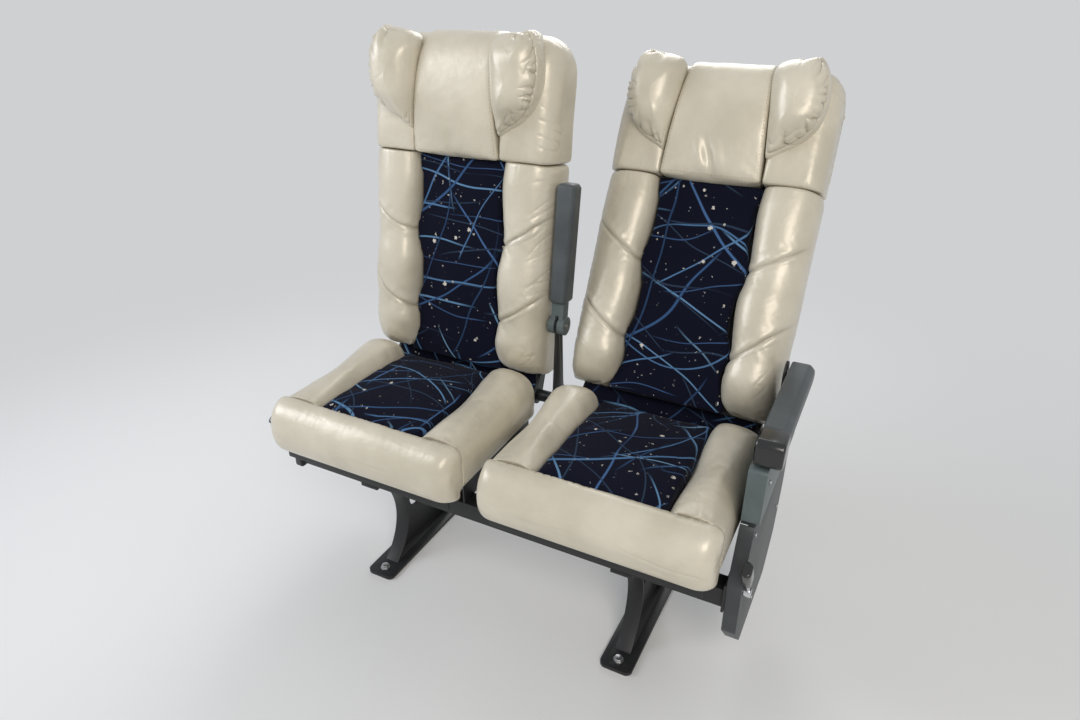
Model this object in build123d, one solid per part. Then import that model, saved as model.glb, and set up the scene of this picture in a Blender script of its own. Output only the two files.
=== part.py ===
# Twin reclining coach passenger seats on one floor frame, in millimetres.
# X runs across the coach with the aisle at +X, the seats face -Y, and Z is up.
# The origin is on the floor, at the centre of the floor bolt pattern.
import os
from math import cos, radians, sin

from build123d import *

# Seats
seat_width = 460          # one seat, over its cushion bolsters
seat_gap = 54             # between the two seats, where the centre armrest stands when it is up
cushion_top = 462         # height of the cushion's flat top
cushion_front = -262      # foremost point of the cushion's nose
cushion_rear = 118        # back edge of the cushion
cushion_insert_width = 250
cushion_side_rise = 12    # how far the side bolsters stand above the insert
cushion_hump = 14         # the bolsters' further rise near the back
cushion_nose_depth = 62
pan_top = 366
pan_sheet = 4
pan_bead_width = 14
pan_bead_depth = 5

# Backrests: heights are measured along the back from its recline pivot
pivot_y = 175
pivot_z = 385
window_lean = 8           # degrees behind upright, as the window seat stands in the photograph
aisle_lean = 26           # the aisle seat is shown part reclined
full_lean = 38
upright_lean = 8
back_height = 790
back_bottom = 58
headrest_height = 255
back_side_inset = 2       # each side of the back inside the seat's width
shell_inset = 30          # the moulded shell inside the side pads
shell_drop = 32           # the shell's top below the headrest's top
core_front = 5
core_rear = 40
core_bottom = -12
insert_front = -48
headrest_side_front = -72
headrest_corner = 62
headrest_seam_top = 88    # half width of the headrest's middle panel at its top
headrest_seam_bottom = 107
wing_reach = 64           # how far a wing stands forward of the headrest's side block
wing_width = 104
wing_start = 46           # above the headrest's lower edge
wing_drop = 6             # below the headrest's top
pocket_bottom = 150
pocket_top = 400
pocket_half_width = 150
pocket_mouth = 36
pocket_floor = 20
pocket_sheet = 4

# Armrests
arm_width = 45
arm_thickness = 48
arm_length = 310          # pivot to front end
arm_pivot_y = 172
arm_pivot_z = 580
arm_neck_length = 52
arm_neck_width = 28
arm_boss_radius = 21
arm_cap_length = 52
arm_pin_depth = 29        # how far the aisle armrest's pin enters it

# Steel frame
tube_size = 40
tube_wall = 3
tube_bottom = 265
front_tube_y = -150
rear_tube_y = 120
plate_thickness = 5
plate_edge = 6            # the side plate's margin round each tube
centre_plate_thickness = 6
arm_strap_width = 46
panel_bracket_width = 26
hinge_arm_thickness = 6
hinge_arm_foot = 60       # where a hinge arm reaches its full depth
hinge_arm_reach = 300     # how far a hinge arm runs up beside the shell
hinge_boss_radius = 22
pivot_pin_radius = 8
arm_pin_radius = 6
leg_x = 300               # each leg from the middle of the frame
leg_web = 6
leg_flange_width = 34
leg_flange = 5
leg_neck = 110
leg_hole_radius = 24
foot_length = 350
foot_width = 70
foot_thickness = 8
floor_bolt_spacing_y = 300
floor_bolt_radius = 5.5

# Recline springs
spring_arm = 62           # from the recline pivot to the pin in the rod's eye
cylinder_radius = 11
cylinder_length = 176
rod_radius = 5
rod_eye_radius = 11
eye_thickness = 10
eye_pin_radius = 4
clevis_cheek = 4
clevis_reach = 12         # from the front eye to the clevis's edges

# Moulded covers and recline levers
cover_wall = 3
cover_rib = 2.5
cover_boss_radius = 7
panel_width = 32
shield_width = 26
window_cover_width = 12
shield_bottom = 120
panel_split = 436         # height where the armrest panel meets the shield
lever_y = -150
lever_z = 300
lever_tilt = 30           # degrees forward of upright
lever_rod_radius = 4
lever_hub_radius = 9
lever_hub_width = 12
lever_rod_length = 62
grip_width = 18
grip_depth = 28
grip_length = 58

# Clearances
moving_gap = 5
soft_gap = 0.3
pin_gap = 0.05
eye_gap = 1.6
side_gap = 5              # cushion to side plate
arm_gap = 2               # hinge arm to the pad that wraps it

# Worked out from the sizes above
seat_centre = (seat_width + seat_gap) / 2
back_half_width = seat_width / 2 - back_side_inset
core_half_width = back_half_width - shell_inset
core_top = back_height - shell_drop
headrest_bottom = back_height - headrest_height
wing_bottom = headrest_bottom + wing_start
wing_top = back_height - wing_drop
plate_inner = seat_width / 2 + side_gap
plate_face = seat_centre + plate_inner + plate_thickness
hinge_arm_x = core_half_width + 0.5
wrap_inner = core_half_width + hinge_arm_thickness + arm_gap
wrap_rear = core_rear - 2
tube_top = tube_bottom + tube_size
tube_half_length = seat_centre + plate_inner
mid_lean = (upright_lean + full_lean) / 2
spring_x = core_half_width - 14
front_eye_y = front_tube_y + 4
arm_x0 = plate_face + moving_gap
arm_x1 = arm_x0 + arm_width
strap_front = arm_pivot_y - arm_strap_width / 2
strap_rear = arm_pivot_y + arm_strap_width / 2
panel_top = arm_pivot_z - arm_thickness / 2 - moving_gap - 3
panel_front = arm_pivot_y - arm_length
cover_front = front_tube_y - tube_size / 2 - plate_edge
cover_rear = pivot_y + hinge_boss_radius + plate_edge + 3
leans = {"window": window_lean, "aisle": aisle_lean}
outward = {"window": -1, "aisle": 1}

# share of the way up a side bolster, and its width there
bolster_widths = (
    (0, 96), (0.06, 106), (0.16, 120), (0.26, 108), (0.36, 123),
    (0.50, 123), (0.63, 108), (0.75, 122), (0.90, 121), (1, 114),
)
# share of the way up a side bolster, and how far it stands forward
bolster_reaches = (
    (0, 44), (0.06, 72), (0.16, 97), (0.26, 88), (0.38, 100),
    (0.50, 95), (0.63, 80), (0.75, 87), (0.90, 84), (1, 76),
)

os.makedirs("parts", exist_ok=True)


def block(x0, x1, y0, y1, z0, z1):
    middle = Pos((x0 + x1) / 2, (y0 + y1) / 2, (z0 + z1) / 2)
    return middle * Box(x1 - x0, y1 - y0, z1 - z0)


def outline_face(points, radius=0):
    if radius:
        return make_face(FilletPolyline(*points, radius=radius, close=True))
    return make_face(Polyline(*points, close=True))


def across(points, x0, x1, radius=0):
    """A side outline of (y, z) points, carried across the seat from x0 to x1."""
    return extrude(Plane.YZ.offset(x0) * outline_face(points, radius), x1 - x0)


def front_view(points, y0, y1):
    """A front outline of (x, z) points, carried through from y0 to y1."""
    return extrude(Plane.XZ.offset(-y1) * outline_face(points), y1 - y0)


def plan_view(points, z0, z1):
    """A plan outline of (x, y) points, carried up from z0 to z1."""
    return extrude(Plane.XY.offset(z0) * outline_face(points), z1 - z0)


def across_rod(x0, x1, y, z, radius):
    """A round bar lying across the seat."""
    return extrude(Plane.YZ.offset(x0) * (Pos(y, z) * Circle(radius)), x1 - x0)


def lengthwise_rod(x, y0, y1, z, radius):
    """A round bar lying front to back."""
    return extrude(Plane(origin=(x, y0, z), z_dir=(0, 1, 0)) * Circle(radius), y1 - y0)


def mirrored(shape):
    return mirror(shape, about=Plane.YZ)


def both_sides(shape):
    return Compound([shape, mirrored(shape)])


def at_side(shape, seat):
    """A piece drawn on the aisle side, or its mirror image on the window side."""
    return shape if outward[seat] > 0 else mirrored(shape)


def at_seat(shape, seat):
    return Pos(outward[seat] * seat_centre, 0, 0) * shape


def on_back(shape, seat):
    """Carries a piece drawn upright about the pivot to its leaning back."""
    place = Pos(outward[seat] * seat_centre, pivot_y, pivot_z)
    return place * Rot(-leans[seat], 0, 0) * shape


def write(shape, node):
    shape.label = node
    export_step(shape, "parts/" + node + ".step")


def leg():
    """A pedestal: foot, waisted web with flanged edges, and saddle under both tubes."""
    saddle_front = front_tube_y - tube_size / 2
    saddle_rear = rear_tube_y + tube_size / 2
    waist_y = (saddle_front + saddle_rear) / 2
    waist_z = tube_bottom / 2
    web_foot = floor_bolt_spacing_y / 2 - 25
    web_top = tube_bottom - foot_thickness
    front_curve = ThreePointArc(
        (-web_foot, foot_thickness), (waist_y - leg_neck / 2, waist_z), (saddle_front, web_top)
    )
    rear_curve = ThreePointArc((saddle_rear, web_top), (waist_y + leg_neck / 2, waist_z), (web_foot, foot_thickness))
    edges = Curve() + [
        front_curve,
        Line((saddle_front, web_top), (saddle_rear, web_top)),
        rear_curve,
        Line((web_foot, foot_thickness), (-web_foot, foot_thickness)),
    ]
    side = make_face(edges)
    flange_half = leg_flange_width / 2
    body = extrude(Plane.YZ.offset(-flange_half) * side, leg_flange_width)
    recess = offset(side, -leg_flange)
    recess_depth = (leg_flange_width - leg_web) / 2
    body -= extrude(Plane.YZ.offset(-flange_half) * recess, recess_depth)
    body -= extrude(Plane.YZ.offset(leg_web / 2) * recess, recess_depth)
    foot = block(-foot_width / 2, foot_width / 2, -foot_length / 2, foot_length / 2, 0, foot_thickness)
    foot = fillet(foot.edges().filter_by(Axis.Z), 14)
    for y in (-floor_bolt_spacing_y / 2, floor_bolt_spacing_y / 2):
        foot -= Pos(0, y, 0) * Cylinder(floor_bolt_radius, 3 * foot_thickness)
    saddle = block(-22, 22, saddle_front, saddle_rear, web_top, tube_bottom)
    hole = across_rod(-flange_half, flange_half, waist_y, waist_z, leg_hole_radius)
    return body + foot + saddle - hole


def cross_tube(y):
    half = tube_size / 2
    outer = block(-tube_half_length, tube_half_length, y - half, y + half, tube_bottom, tube_top)
    inside = half - tube_wall
    hollow = block(
        -tube_half_length, tube_half_length, y - inside, y + inside, tube_bottom + tube_wall, tube_top - tube_wall
    )
    return outer - hollow


def side_plate(seat):
    """The plate at a seat's outer side; the aisle one also carries the armrest and its panel."""
    x0 = seat_centre + plate_inner
    x1 = plate_face
    low = tube_bottom - plate_edge
    band_top = tube_top + 16
    front = front_tube_y - tube_size / 2 - plate_edge
    rear = pivot_y + hinge_boss_radius + plate_edge
    points = [(front, low), (rear_tube_y + 30, low), (rear, low + 60), (rear, pivot_z + 10)]
    if seat == "aisle":
        bracket_top = (panel_split + panel_top + panel_bracket_width) / 2
        bracket_low = bracket_top - panel_bracket_width
        points += [(strap_rear, pivot_z + 40), (strap_rear, arm_pivot_z), (strap_front, arm_pivot_z)]
        points += [(strap_front, bracket_top), (panel_front + 34, bracket_top), (panel_front + 34, bracket_low)]
        points += [(strap_front, bracket_low), (strap_front, pivot_z + 20)]
    else:
        points += [(rear - 16, pivot_z + hinge_boss_radius), (pivot_y - 30, pivot_z + hinge_boss_radius)]
    points += [(pivot_y - 60, pivot_z - 20), (20, band_top), (front, band_top)]
    plate = across(points, x0, x1)
    collar_end = seat_centre + hinge_arm_x + hinge_arm_thickness + arm_gap
    plate += across_rod(collar_end, x0, pivot_y, pivot_z, pivot_pin_radius + 6)
    plate -= across_rod(0, x1 + 1, pivot_y, pivot_z, pivot_pin_radius)
    if seat == "aisle":
        plate += across_rod(x0, x1, arm_pivot_y, arm_pivot_z, arm_strap_width / 2)
        plate -= across_rod(0, x1 + 1, arm_pivot_y, arm_pivot_z, arm_pin_radius)
    return at_side(plate, seat)


def centre_plate():
    """The plate between the seats stands on both tubes and ends in the armrest's pivot."""
    half = centre_plate_thickness / 2
    rear = pivot_y + hinge_boss_radius + plate_edge
    eye = arm_boss_radius - moving_gap
    tube_front = front_tube_y - tube_size / 2
    outline = [
        (tube_front, tube_top),
        (rear_tube_y + tube_size / 2, tube_top),
        (rear, pivot_z - 20),
        (rear, pivot_z + 10),
        (strap_rear, pivot_z + 40),
        (arm_pivot_y + eye, arm_pivot_z - 40),
        (arm_pivot_y + eye, arm_pivot_z),
        (arm_pivot_y - eye, arm_pivot_z),
        (arm_pivot_y - eye, arm_pivot_z - 40),
        (strap_front, pivot_z + 40),
        (pivot_y - 60, pivot_z - 20),
        (20, tube_top + 30),
        (tube_front, tube_top + 14),
    ]
    plate = across(outline, -half, half)
    plate += across_rod(-half, half, arm_pivot_y, arm_pivot_z, eye)
    collar_end = seat_centre - hinge_arm_x - hinge_arm_thickness - arm_gap
    plate += across_rod(-collar_end, collar_end, pivot_y, pivot_z, pivot_pin_radius + 6)
    plate -= across_rod(-collar_end, collar_end, pivot_y, pivot_z, pivot_pin_radius)
    plate -= across_rod(-half, half, arm_pivot_y, arm_pivot_z, arm_pin_radius)
    return plate


def pivot_pins(seat):
    """Two pins on the recline axis: one from the outer plate, one from the centre plate."""
    reach = core_half_width + soft_gap
    outer = across_rod(seat_centre + reach, plate_face, pivot_y, pivot_z, pivot_pin_radius)
    inner = across_rod(centre_plate_thickness / 2, seat_centre - reach, pivot_y, pivot_z, pivot_pin_radius)
    return at_side(Compound([outer, inner]), seat)


def pan():
    """A pressed tray under the cushion with stiffening beads, its side flanges on the tubes."""
    half = core_half_width + 12
    lip_y = cushion_front + 34
    front = front_tube_y - tube_size / 2
    rear = rear_tube_y - 6
    under = pan_top - pan_sheet
    tray = block(-half, half, lip_y, rear, under, pan_top)
    for x in (-half, half - pan_sheet):
        tray += block(x, x + pan_sheet, front, rear, tube_top, under)
    tray += block(-half, half, lip_y, lip_y + pan_sheet, pan_top - 40, under)
    for x in (-half / 2, 0, half / 2):
        bead = [(x - pan_bead_width / 2, under), (x + pan_bead_width / 2, under)]
        bead += [(x + pan_bead_width / 4, under - pan_bead_depth), (x - pan_bead_width / 4, under - pan_bead_depth)]
        tray += front_view(bead, front + 30, rear - 30)
    return tray


def cushion_insert():
    """The fabric middle of the cushion, crowned a little and falling to the back."""
    half = cushion_insert_width / 2 - soft_gap
    front = cushion_front + cushion_nose_depth + soft_gap
    outline = [
        (front, pan_top),
        (cushion_rear, pan_top),
        (cushion_rear, cushion_top - 12),
        (cushion_rear - 120, cushion_top),
        (front + 60, cushion_top + 3),
        (front, cushion_top),
    ]
    return across(outline, -half, half)


def cushion_bolster():
    """A long side pad with a thigh hump near the back and a step down to its front."""
    inner = cushion_insert_width / 2
    outer = seat_width / 2
    front = cushion_front + cushion_nose_depth + soft_gap
    top = cushion_top + cushion_side_rise
    crest = top + cushion_hump
    outline = [
        (front, pan_top),
        (cushion_rear, pan_top),
        (cushion_rear, top - 30),
        (cushion_rear - 14, top - 4),
        (cushion_rear - 44, crest),
        (cushion_rear - 112, crest - 2),
        (cushion_rear - 148, top + 4),
        (front + 60, top + 2),
        (front, top - 6),
    ]
    pad = across(outline, inner, outer)
    shoulder = [(outer - 22, crest + 1), (outer + 1, crest + 1), (outer + 1, top - 28), (outer, top - 28)]
    return pad - front_view(shoulder, front - 1, cushion_rear + 1)


def cushion_nose():
    """The roll across the cushion's front, from bolster to bolster."""
    half = seat_width / 2
    rear = cushion_front + cushion_nose_depth
    lip = cushion_front + 34 - 1
    outline = [
        (rear, pan_top),
        (rear, cushion_top + 4),
        (cushion_front + 34, cushion_top + 6),
        (cushion_front + 12, cushion_top - 8),
        (cushion_front, cushion_top - 36),
        (cushion_front + 3, pan_top + 14),
        (cushion_front + 22, pan_top - 14),
        (lip, pan_top - 14),
        (lip, pan_top),
    ]
    roll = across(outline, -half, half)
    upright = [e for e in roll.edges() if e.center().Y < cushion_front + 8 and abs(e.center().X) > half - 1]
    return chamfer(upright, 12)


def bolster_height(share):
    return back_bottom + share * (headrest_bottom - soft_gap - back_bottom)


def back_bolster():
    """A padded tube with a wavy inner edge that also wraps the side of the back's core."""
    outer = back_half_width
    widest = max(width for _, width in bolster_widths)
    reach = max(reach for _, reach in bolster_reaches)
    low = bolster_height(0)
    high = bolster_height(1)
    edges = [(outer - width, bolster_height(share)) for share, width in bolster_widths]
    edges += [(outer, high), (outer, bolster_height(0.05)), (outer - 12, low)]
    humps = [(-forward, bolster_height(share)) for share, forward in bolster_reaches]
    humps += [(wrap_rear, high), (wrap_rear, low)]
    section = [
        (outer - widest, core_front),
        (outer - widest, insert_front + 4),
        (outer - 0.92 * widest, -0.8 * reach),
        (outer - 0.66 * widest, -reach),
        (outer - 0.34 * widest, -0.97 * reach),
        (outer - 0.10 * widest, -0.74 * reach),
        (outer, -0.36 * reach),
        (outer, wrap_rear - 8),
        (outer - 8, wrap_rear),
        (wrap_inner, wrap_rear),
        (wrap_inner, core_front),
    ]
    return front_view(edges, -reach, wrap_rear) & across(humps, 0, outer) & plan_view(section, low, high)


def back_insert():
    """The fabric panel between the bolsters, with their wavy edges."""
    right = [(back_half_width - width - soft_gap, bolster_height(share)) for share, width in bolster_widths]
    left = [(-x, z) for x, z in reversed(right)]
    return front_view(right + left, insert_front, core_front)


def back_core():
    """The moulded back shell that carries the pads."""
    outline = [
        (core_front, core_bottom),
        (core_rear - 8, core_bottom),
        (core_rear, core_bottom + 60),
        (core_rear, core_top - 60),
        (core_rear - 14, core_top),
        (core_front, core_top),
    ]
    return across(outline, -core_half_width, core_half_width)


def headrest_seam(height):
    """Half the width of the headrest's middle panel at a height along the back."""
    share = (height - headrest_bottom) / headrest_height
    return headrest_seam_bottom + share * (headrest_seam_top - headrest_seam_bottom)


def headrest():
    """The headrest's middle panel rolls over the back's top between two side blocks."""
    crowned = [
        (core_front, headrest_bottom),
        (-74, headrest_bottom),
        (-90, headrest_bottom + 44),
        (-97, headrest_bottom + 125),
        (-90, back_height - 64),
        (-62, back_height - 16),
        (-26, back_height),
        (16, back_height),
        (core_rear, back_height - 12),
        (core_rear, core_top + soft_gap),
        (core_front, core_top + soft_gap),
    ]
    middle_sides = [
        (-headrest_seam_bottom, headrest_bottom),
        (headrest_seam_bottom, headrest_bottom),
        (headrest_seam_top, back_height),
        (-headrest_seam_top, back_height),
    ]
    middle = across(crowned, -headrest_seam_bottom, headrest_seam_bottom) & front_view(middle_sides, -200, 100)
    side_outline = [
        (core_front, headrest_bottom),
        (headrest_side_front, headrest_bottom),
        (headrest_side_front, back_height - 60),
        (-60, back_height - 28),
        (-24, back_height - 4),
        (20, back_height - 4),
        (core_rear, back_height - 14),
        (core_rear, core_top + soft_gap),
        (core_front, core_top + soft_gap),
    ]
    sides = across(side_outline, -back_half_width, back_half_width)
    wrap = block(wrap_inner, back_half_width, core_front, wrap_rear, headrest_bottom, core_top + soft_gap)
    sides += wrap + mirrored(wrap)
    rounded = Rectangle(2 * back_half_width, 2 * back_height)
    rounded = fillet(rounded.vertices(), headrest_corner)
    sides &= extrude(Plane.XZ.offset(-100) * rounded, 300)
    return middle + sides


def wing():
    """One ear of the headrest: a fat pad, D-shaped from the front, that ends in a point below."""
    root = headrest_side_front - soft_gap
    nose = headrest_side_front - wing_reach
    inner_low = headrest_seam(wing_bottom) + 2
    inner_high = headrest_seam(wing_top) + 2
    outer = inner_high + wing_width
    middle = (wing_bottom + wing_top) / 2
    side_view = [
        (root, wing_bottom),
        (root, wing_top),
        (root - 26, wing_top),
        (nose + 12, wing_top - 22),
        (nose, wing_top - 60),
        (nose, middle),
        (nose + 14, middle - 44),
        (root - 14, wing_bottom + 8),
    ]
    front_outline = [
        (inner_low, wing_bottom),
        (inner_low + 14, wing_bottom),
        (outer - 18, middle - 50),
        (outer, middle - 22),
        (outer, wing_top - 40),
        (outer - 20, wing_top),
        (inner_high, wing_top),
    ]
    plan = [
        (inner_high, root),
        (inner_high + 4, nose + 30),
        (inner_high + 20, nose + 4),
        (inner_high + 40, nose),
        (outer - 30, nose + 6),
        (outer - 8, nose + 26),
        (outer, root),
    ]
    pad = across(side_view, inner_high, outer) & plan_view(plan, wing_bottom, wing_top)
    return pad & front_view(front_outline, nose, root)


def spring_pin():
    """The eye pin hangs straight below the pivot at the middle of the back's travel."""
    return spring_arm * sin(radians(mid_lean)), -spring_arm * cos(radians(mid_lean))


def pin_offset(lean):
    """Where the eye pin stands from the pivot at a lean, as (y, z)."""
    swing = radians(mid_lean - lean)
    return spring_arm * sin(swing), -spring_arm * cos(swing)


def spring_height():
    middle = pin_offset(mid_lean)[1]
    end = pin_offset(upright_lean)[1]
    return pivot_z + (middle + end) / 2


def hinge_arms(seat):
    """Steel arms from the recline pivot into the back; the outer one also drives the spring."""
    x0 = hinge_arm_x
    x1 = x0 + hinge_arm_thickness
    front = core_front + 7
    rear = core_rear - 6
    outline = [
        (-8, -18),
        (20, -4),
        (rear, hinge_arm_foot),
        (rear, hinge_arm_reach),
        (front, hinge_arm_reach),
        (front, hinge_arm_foot),
        (-16, 12),
    ]
    arm = across(outline, x0, x1) + across_rod(x0, x1, 0, 0, hinge_boss_radius)
    hole = across_rod(x0 - 1, x1 + 1, 0, 0, pivot_pin_radius + pin_gap)
    inner_arm = mirrored(arm - hole)
    pin_y, pin_z = spring_pin()
    half = rod_eye_radius - 1
    lug_y = half * pin_y / spring_arm
    lug_z = half * pin_z / spring_arm
    lug = [(-lug_z, lug_y), (lug_z, -lug_y), (pin_y + lug_z, pin_z - lug_y), (pin_y - lug_z, pin_z + lug_y)]
    outer_arm = arm + across(lug, x0, x1) + across_rod(x0, x1, pin_y, pin_z, half) - hole
    pin_start = spring_x - eye_thickness / 2 - 2
    outer_arm += across_rod(pin_start, x0, pin_y, pin_z, eye_pin_radius)
    return at_side(Compound([outer_arm, inner_arm]), seat)


def spring_cylinder():
    """A gas cylinder lying under the pan, with an eye at its front end."""
    height = spring_height()
    start = front_eye_y + clevis_reach
    half = eye_thickness / 2
    shape = lengthwise_rod(spring_x, start, start + cylinder_length, height, cylinder_radius)
    shape -= lengthwise_rod(
        spring_x, start + clevis_reach, start + cylinder_length + 1, height, rod_radius + pin_gap
    )
    shape += across_rod(spring_x - half, spring_x + half, front_eye_y, height, cylinder_radius - 1)
    shape += block(spring_x - 4, spring_x + 4, front_eye_y, start + 1, height - 6, height + 6)
    return shape - across_rod(spring_x - half - 1, spring_x + half + 1, front_eye_y, height, eye_pin_radius)


def spring_clevis():
    """Two cheeks on the front tube and the pin that holds the cylinder's eye."""
    height = spring_height()
    start = eye_thickness / 2 + 1
    outer = start + clevis_cheek
    pin = across_rod(spring_x - outer, spring_x + outer, front_eye_y, height, eye_pin_radius)
    for x in (spring_x - outer, spring_x + start):
        front = front_eye_y - clevis_reach
        pin += block(x, x + clevis_cheek, front, front_eye_y + clevis_reach, tube_top, height + clevis_reach)
    return pin


def spring_rod(seat):
    """The rod slides out of the cylinder to its eye on the hinge arm's pin."""
    height = spring_height()
    eye_y = pivot_y + pin_offset(leans[seat])[0]
    half = eye_thickness / 2
    rod = lengthwise_rod(spring_x, front_eye_y + 60, eye_y - rod_eye_radius / 2, height, rod_radius)
    rod += across_rod(spring_x - half, spring_x + half, eye_y, height, rod_eye_radius)
    return rod - across_rod(spring_x - half - 1, spring_x + half + 1, eye_y, height, eye_pin_radius + eye_gap)


def pocket():
    """A sprung pocket on the back shell, open at the top."""
    inner = core_rear + soft_gap
    floor_rear = inner + pocket_floor
    mouth_rear = inner + pocket_mouth
    sheet = pocket_sheet
    outer = [(inner, pocket_bottom), (floor_rear, pocket_bottom), (mouth_rear, pocket_top), (inner, pocket_top)]
    room = [
        (inner - 1, pocket_bottom + sheet),
        (floor_rear - sheet, pocket_bottom + sheet),
        (mouth_rear - sheet, pocket_top + 1),
        (inner - 1, pocket_top + 1),
    ]
    half = pocket_half_width
    return across(outer, -half, half) - across(room, sheet - half, half - sheet)


def centre_arm_pad():
    """The raised armrest: flat front, one sloped edge and a rounded top end."""
    half = arm_thickness / 2
    outline = [(-half, arm_neck_length), (half, arm_neck_length), (half, arm_length), (-half, arm_length)]
    pad = across(outline, -arm_width / 2, arm_width / 2, radius=9)
    ridges = [e for e in pad.edges().filter_by(Axis.Z) if e.center().Y < 0]
    return chamfer(ridges, 9)


def centre_arm_neck():
    """Boss and neck of the centre armrest, slotted over the centre plate."""
    half = arm_neck_width / 2
    slot = centre_plate_thickness / 2 + 1
    boss = across_rod(2 - arm_boss_radius, arm_boss_radius - 2, 0, 0, arm_boss_radius)
    shape = boss + block(-half, half, -half, half, 0, arm_neck_length)
    shape -= block(-slot, slot, -60, 60, -60, arm_boss_radius + 3)
    return shape - across_rod(-arm_boss_radius, arm_boss_radius, 0, 0, arm_pin_radius + pin_gap)


def aisle_arm():
    """The lowered aisle armrest, its rear end round about the pivot."""
    half = arm_thickness / 2
    front = arm_length - arm_cap_length
    body = across([(-half, 0), (half, 0), (half, front), (-half, front)], arm_x0, arm_x1)
    body += across_rod(arm_x0, arm_x1, 0, 0, half)
    ridges = [e for e in body.edges().filter_by(Axis.Z) if e.center().Y < 0 and e.center().X > arm_x1 - 1]
    body = chamfer(ridges, 10)
    return body - across_rod(arm_x0 - 1, arm_x0 + arm_pin_depth + 1, 0, 0, arm_pin_radius + pin_gap)


def aisle_cap():
    """The gloss front cap is a little deeper than the armrest."""
    half = arm_thickness / 2
    cap = block(arm_x0 - 2, arm_x1 + 2, -half - 3, half, arm_length - arm_cap_length, arm_length)
    return chamfer(cap.edges().filter_by(Axis.X).group_by(Axis.Z)[-1], 8)


def moulded_cover(points, depth, corner, bosses, ribs):
    """A cover moulded open towards its plate, with screw bosses that meet the plate, and ribs."""
    x0 = plate_face
    x1 = plate_face + depth
    inner_wall = x1 - cover_wall
    face = outline_face(points, corner)
    inside = offset(outline_face(points), -cover_wall, kind=Kind.INTERSECTION)
    room = extrude(Plane.YZ.offset(x0) * inside, depth - cover_wall)
    cover = extrude(Plane.YZ.offset(x0) * face, depth) - room
    for y in ribs:
        cover += block(x0 + depth / 2, inner_wall, y, y + cover_rib, 0, arm_pivot_z) & room
    for y, z in bosses:
        cover += across_rod(x0, inner_wall, y, z, cover_boss_radius)
    return cover


def arm_panel():
    outline = [
        (panel_front, panel_split),
        (strap_rear, panel_split),
        (strap_rear, panel_top - 40),
        (strap_front - 12, panel_top - 6),
        (60, panel_top),
        (panel_front, panel_top),
    ]
    middle = (panel_split + panel_top) / 2
    bosses = ((panel_front + 50, middle), (arm_pivot_y, middle - 20))
    return moulded_cover(outline, panel_width, 9, bosses, (-40, 30, 100))


def side_shield():
    outline = [
        (panel_front, panel_split),
        (cover_front, tube_top + 25),
        (cover_front + 8, tube_bottom - 55),
        (cover_front + 76, shield_bottom + 8),
        (rear_tube_y, shield_bottom),
        (rear_tube_y + 66, shield_bottom + 66),
        (cover_rear, tube_top - 5),
        (strap_rear, panel_split),
    ]
    tube_middle = tube_bottom + tube_size / 2
    bosses = ((-120, tube_middle), (rear_tube_y, tube_middle), (pivot_y, panel_split - 24))
    return moulded_cover(outline, shield_width, 18, bosses, (-90, -20, 50))


def window_cover():
    low = tube_bottom - 15
    high = pivot_z + hinge_boss_radius + 1
    outline = [(cover_front, low), (rear_tube_y + 30, low), (cover_rear, tube_top + 15), (cover_rear, high)]
    outline += [(pivot_y - 65, high), (20, tube_top + 35), (cover_front, tube_top + 35)]
    tube_middle = tube_bottom + tube_size / 2
    bosses = ((-120, tube_middle), (rear_tube_y, tube_middle))
    return moulded_cover(outline, window_cover_width, 12, bosses, (-60, 0, 60))


def lever_hole():
    return across_rod(0, arm_x1, lever_y, lever_z, lever_rod_radius + soft_gap)


def lever(cover_width):
    """Hub, rod and grip of a recline lever: its spindle leaves the plate through the cover."""
    hub_start = plate_face + cover_width + 1
    line = hub_start + lever_hub_width / 2
    up = (0, -sin(radians(lever_tilt)), cos(radians(lever_tilt)))
    foot = Vector(line, lever_y, lever_z)
    end = foot + Vector(*up) * lever_rod_length
    rod = across_rod(plate_face, hub_start, lever_y, lever_z, lever_rod_radius)
    rod += across_rod(hub_start, hub_start + lever_hub_width, lever_y, lever_z, lever_hub_radius)
    rod += extrude(Plane(origin=foot, z_dir=up) * Circle(lever_rod_radius), lever_rod_length)
    grip_plane = Plane(origin=end, x_dir=(1, 0, 0), z_dir=up)
    profile = RectangleRounded(grip_width, grip_depth, grip_width / 2 - 1)
    grip = extrude(grip_plane * profile, grip_length)
    ends = grip.faces().filter_by(Plane(origin=end, z_dir=up)).edges()
    return rod, chamfer(ends, 3)


# Frame
for seat in ("window", "aisle"):
    write(Pos(outward[seat] * leg_x, 0, 0) * leg(), "leg_" + seat)
    write(side_plate(seat), "side_plate_" + seat)
    write(pivot_pins(seat), "pivot_pins_" + seat)
    write(at_seat(pan(), seat), "seat_pan_" + seat)
    write(at_seat(cushion_insert(), seat), "cushion_insert_" + seat)
    write(at_seat(both_sides(cushion_bolster()), seat), "cushion_bolsters_" + seat)
    write(at_seat(cushion_nose(), seat), "cushion_nose_" + seat)
    write(at_seat(at_side(spring_cylinder(), seat), seat), "spring_cylinder_" + seat)
    write(at_seat(at_side(spring_clevis(), seat), seat), "spring_clevis_" + seat)
    write(at_seat(at_side(spring_rod(seat), seat), seat), "spring_rod_" + seat)
write(cross_tube(front_tube_y), "cross_tube_front")
write(cross_tube(rear_tube_y), "cross_tube_rear")
write(centre_plate(), "centre_plate")

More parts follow.
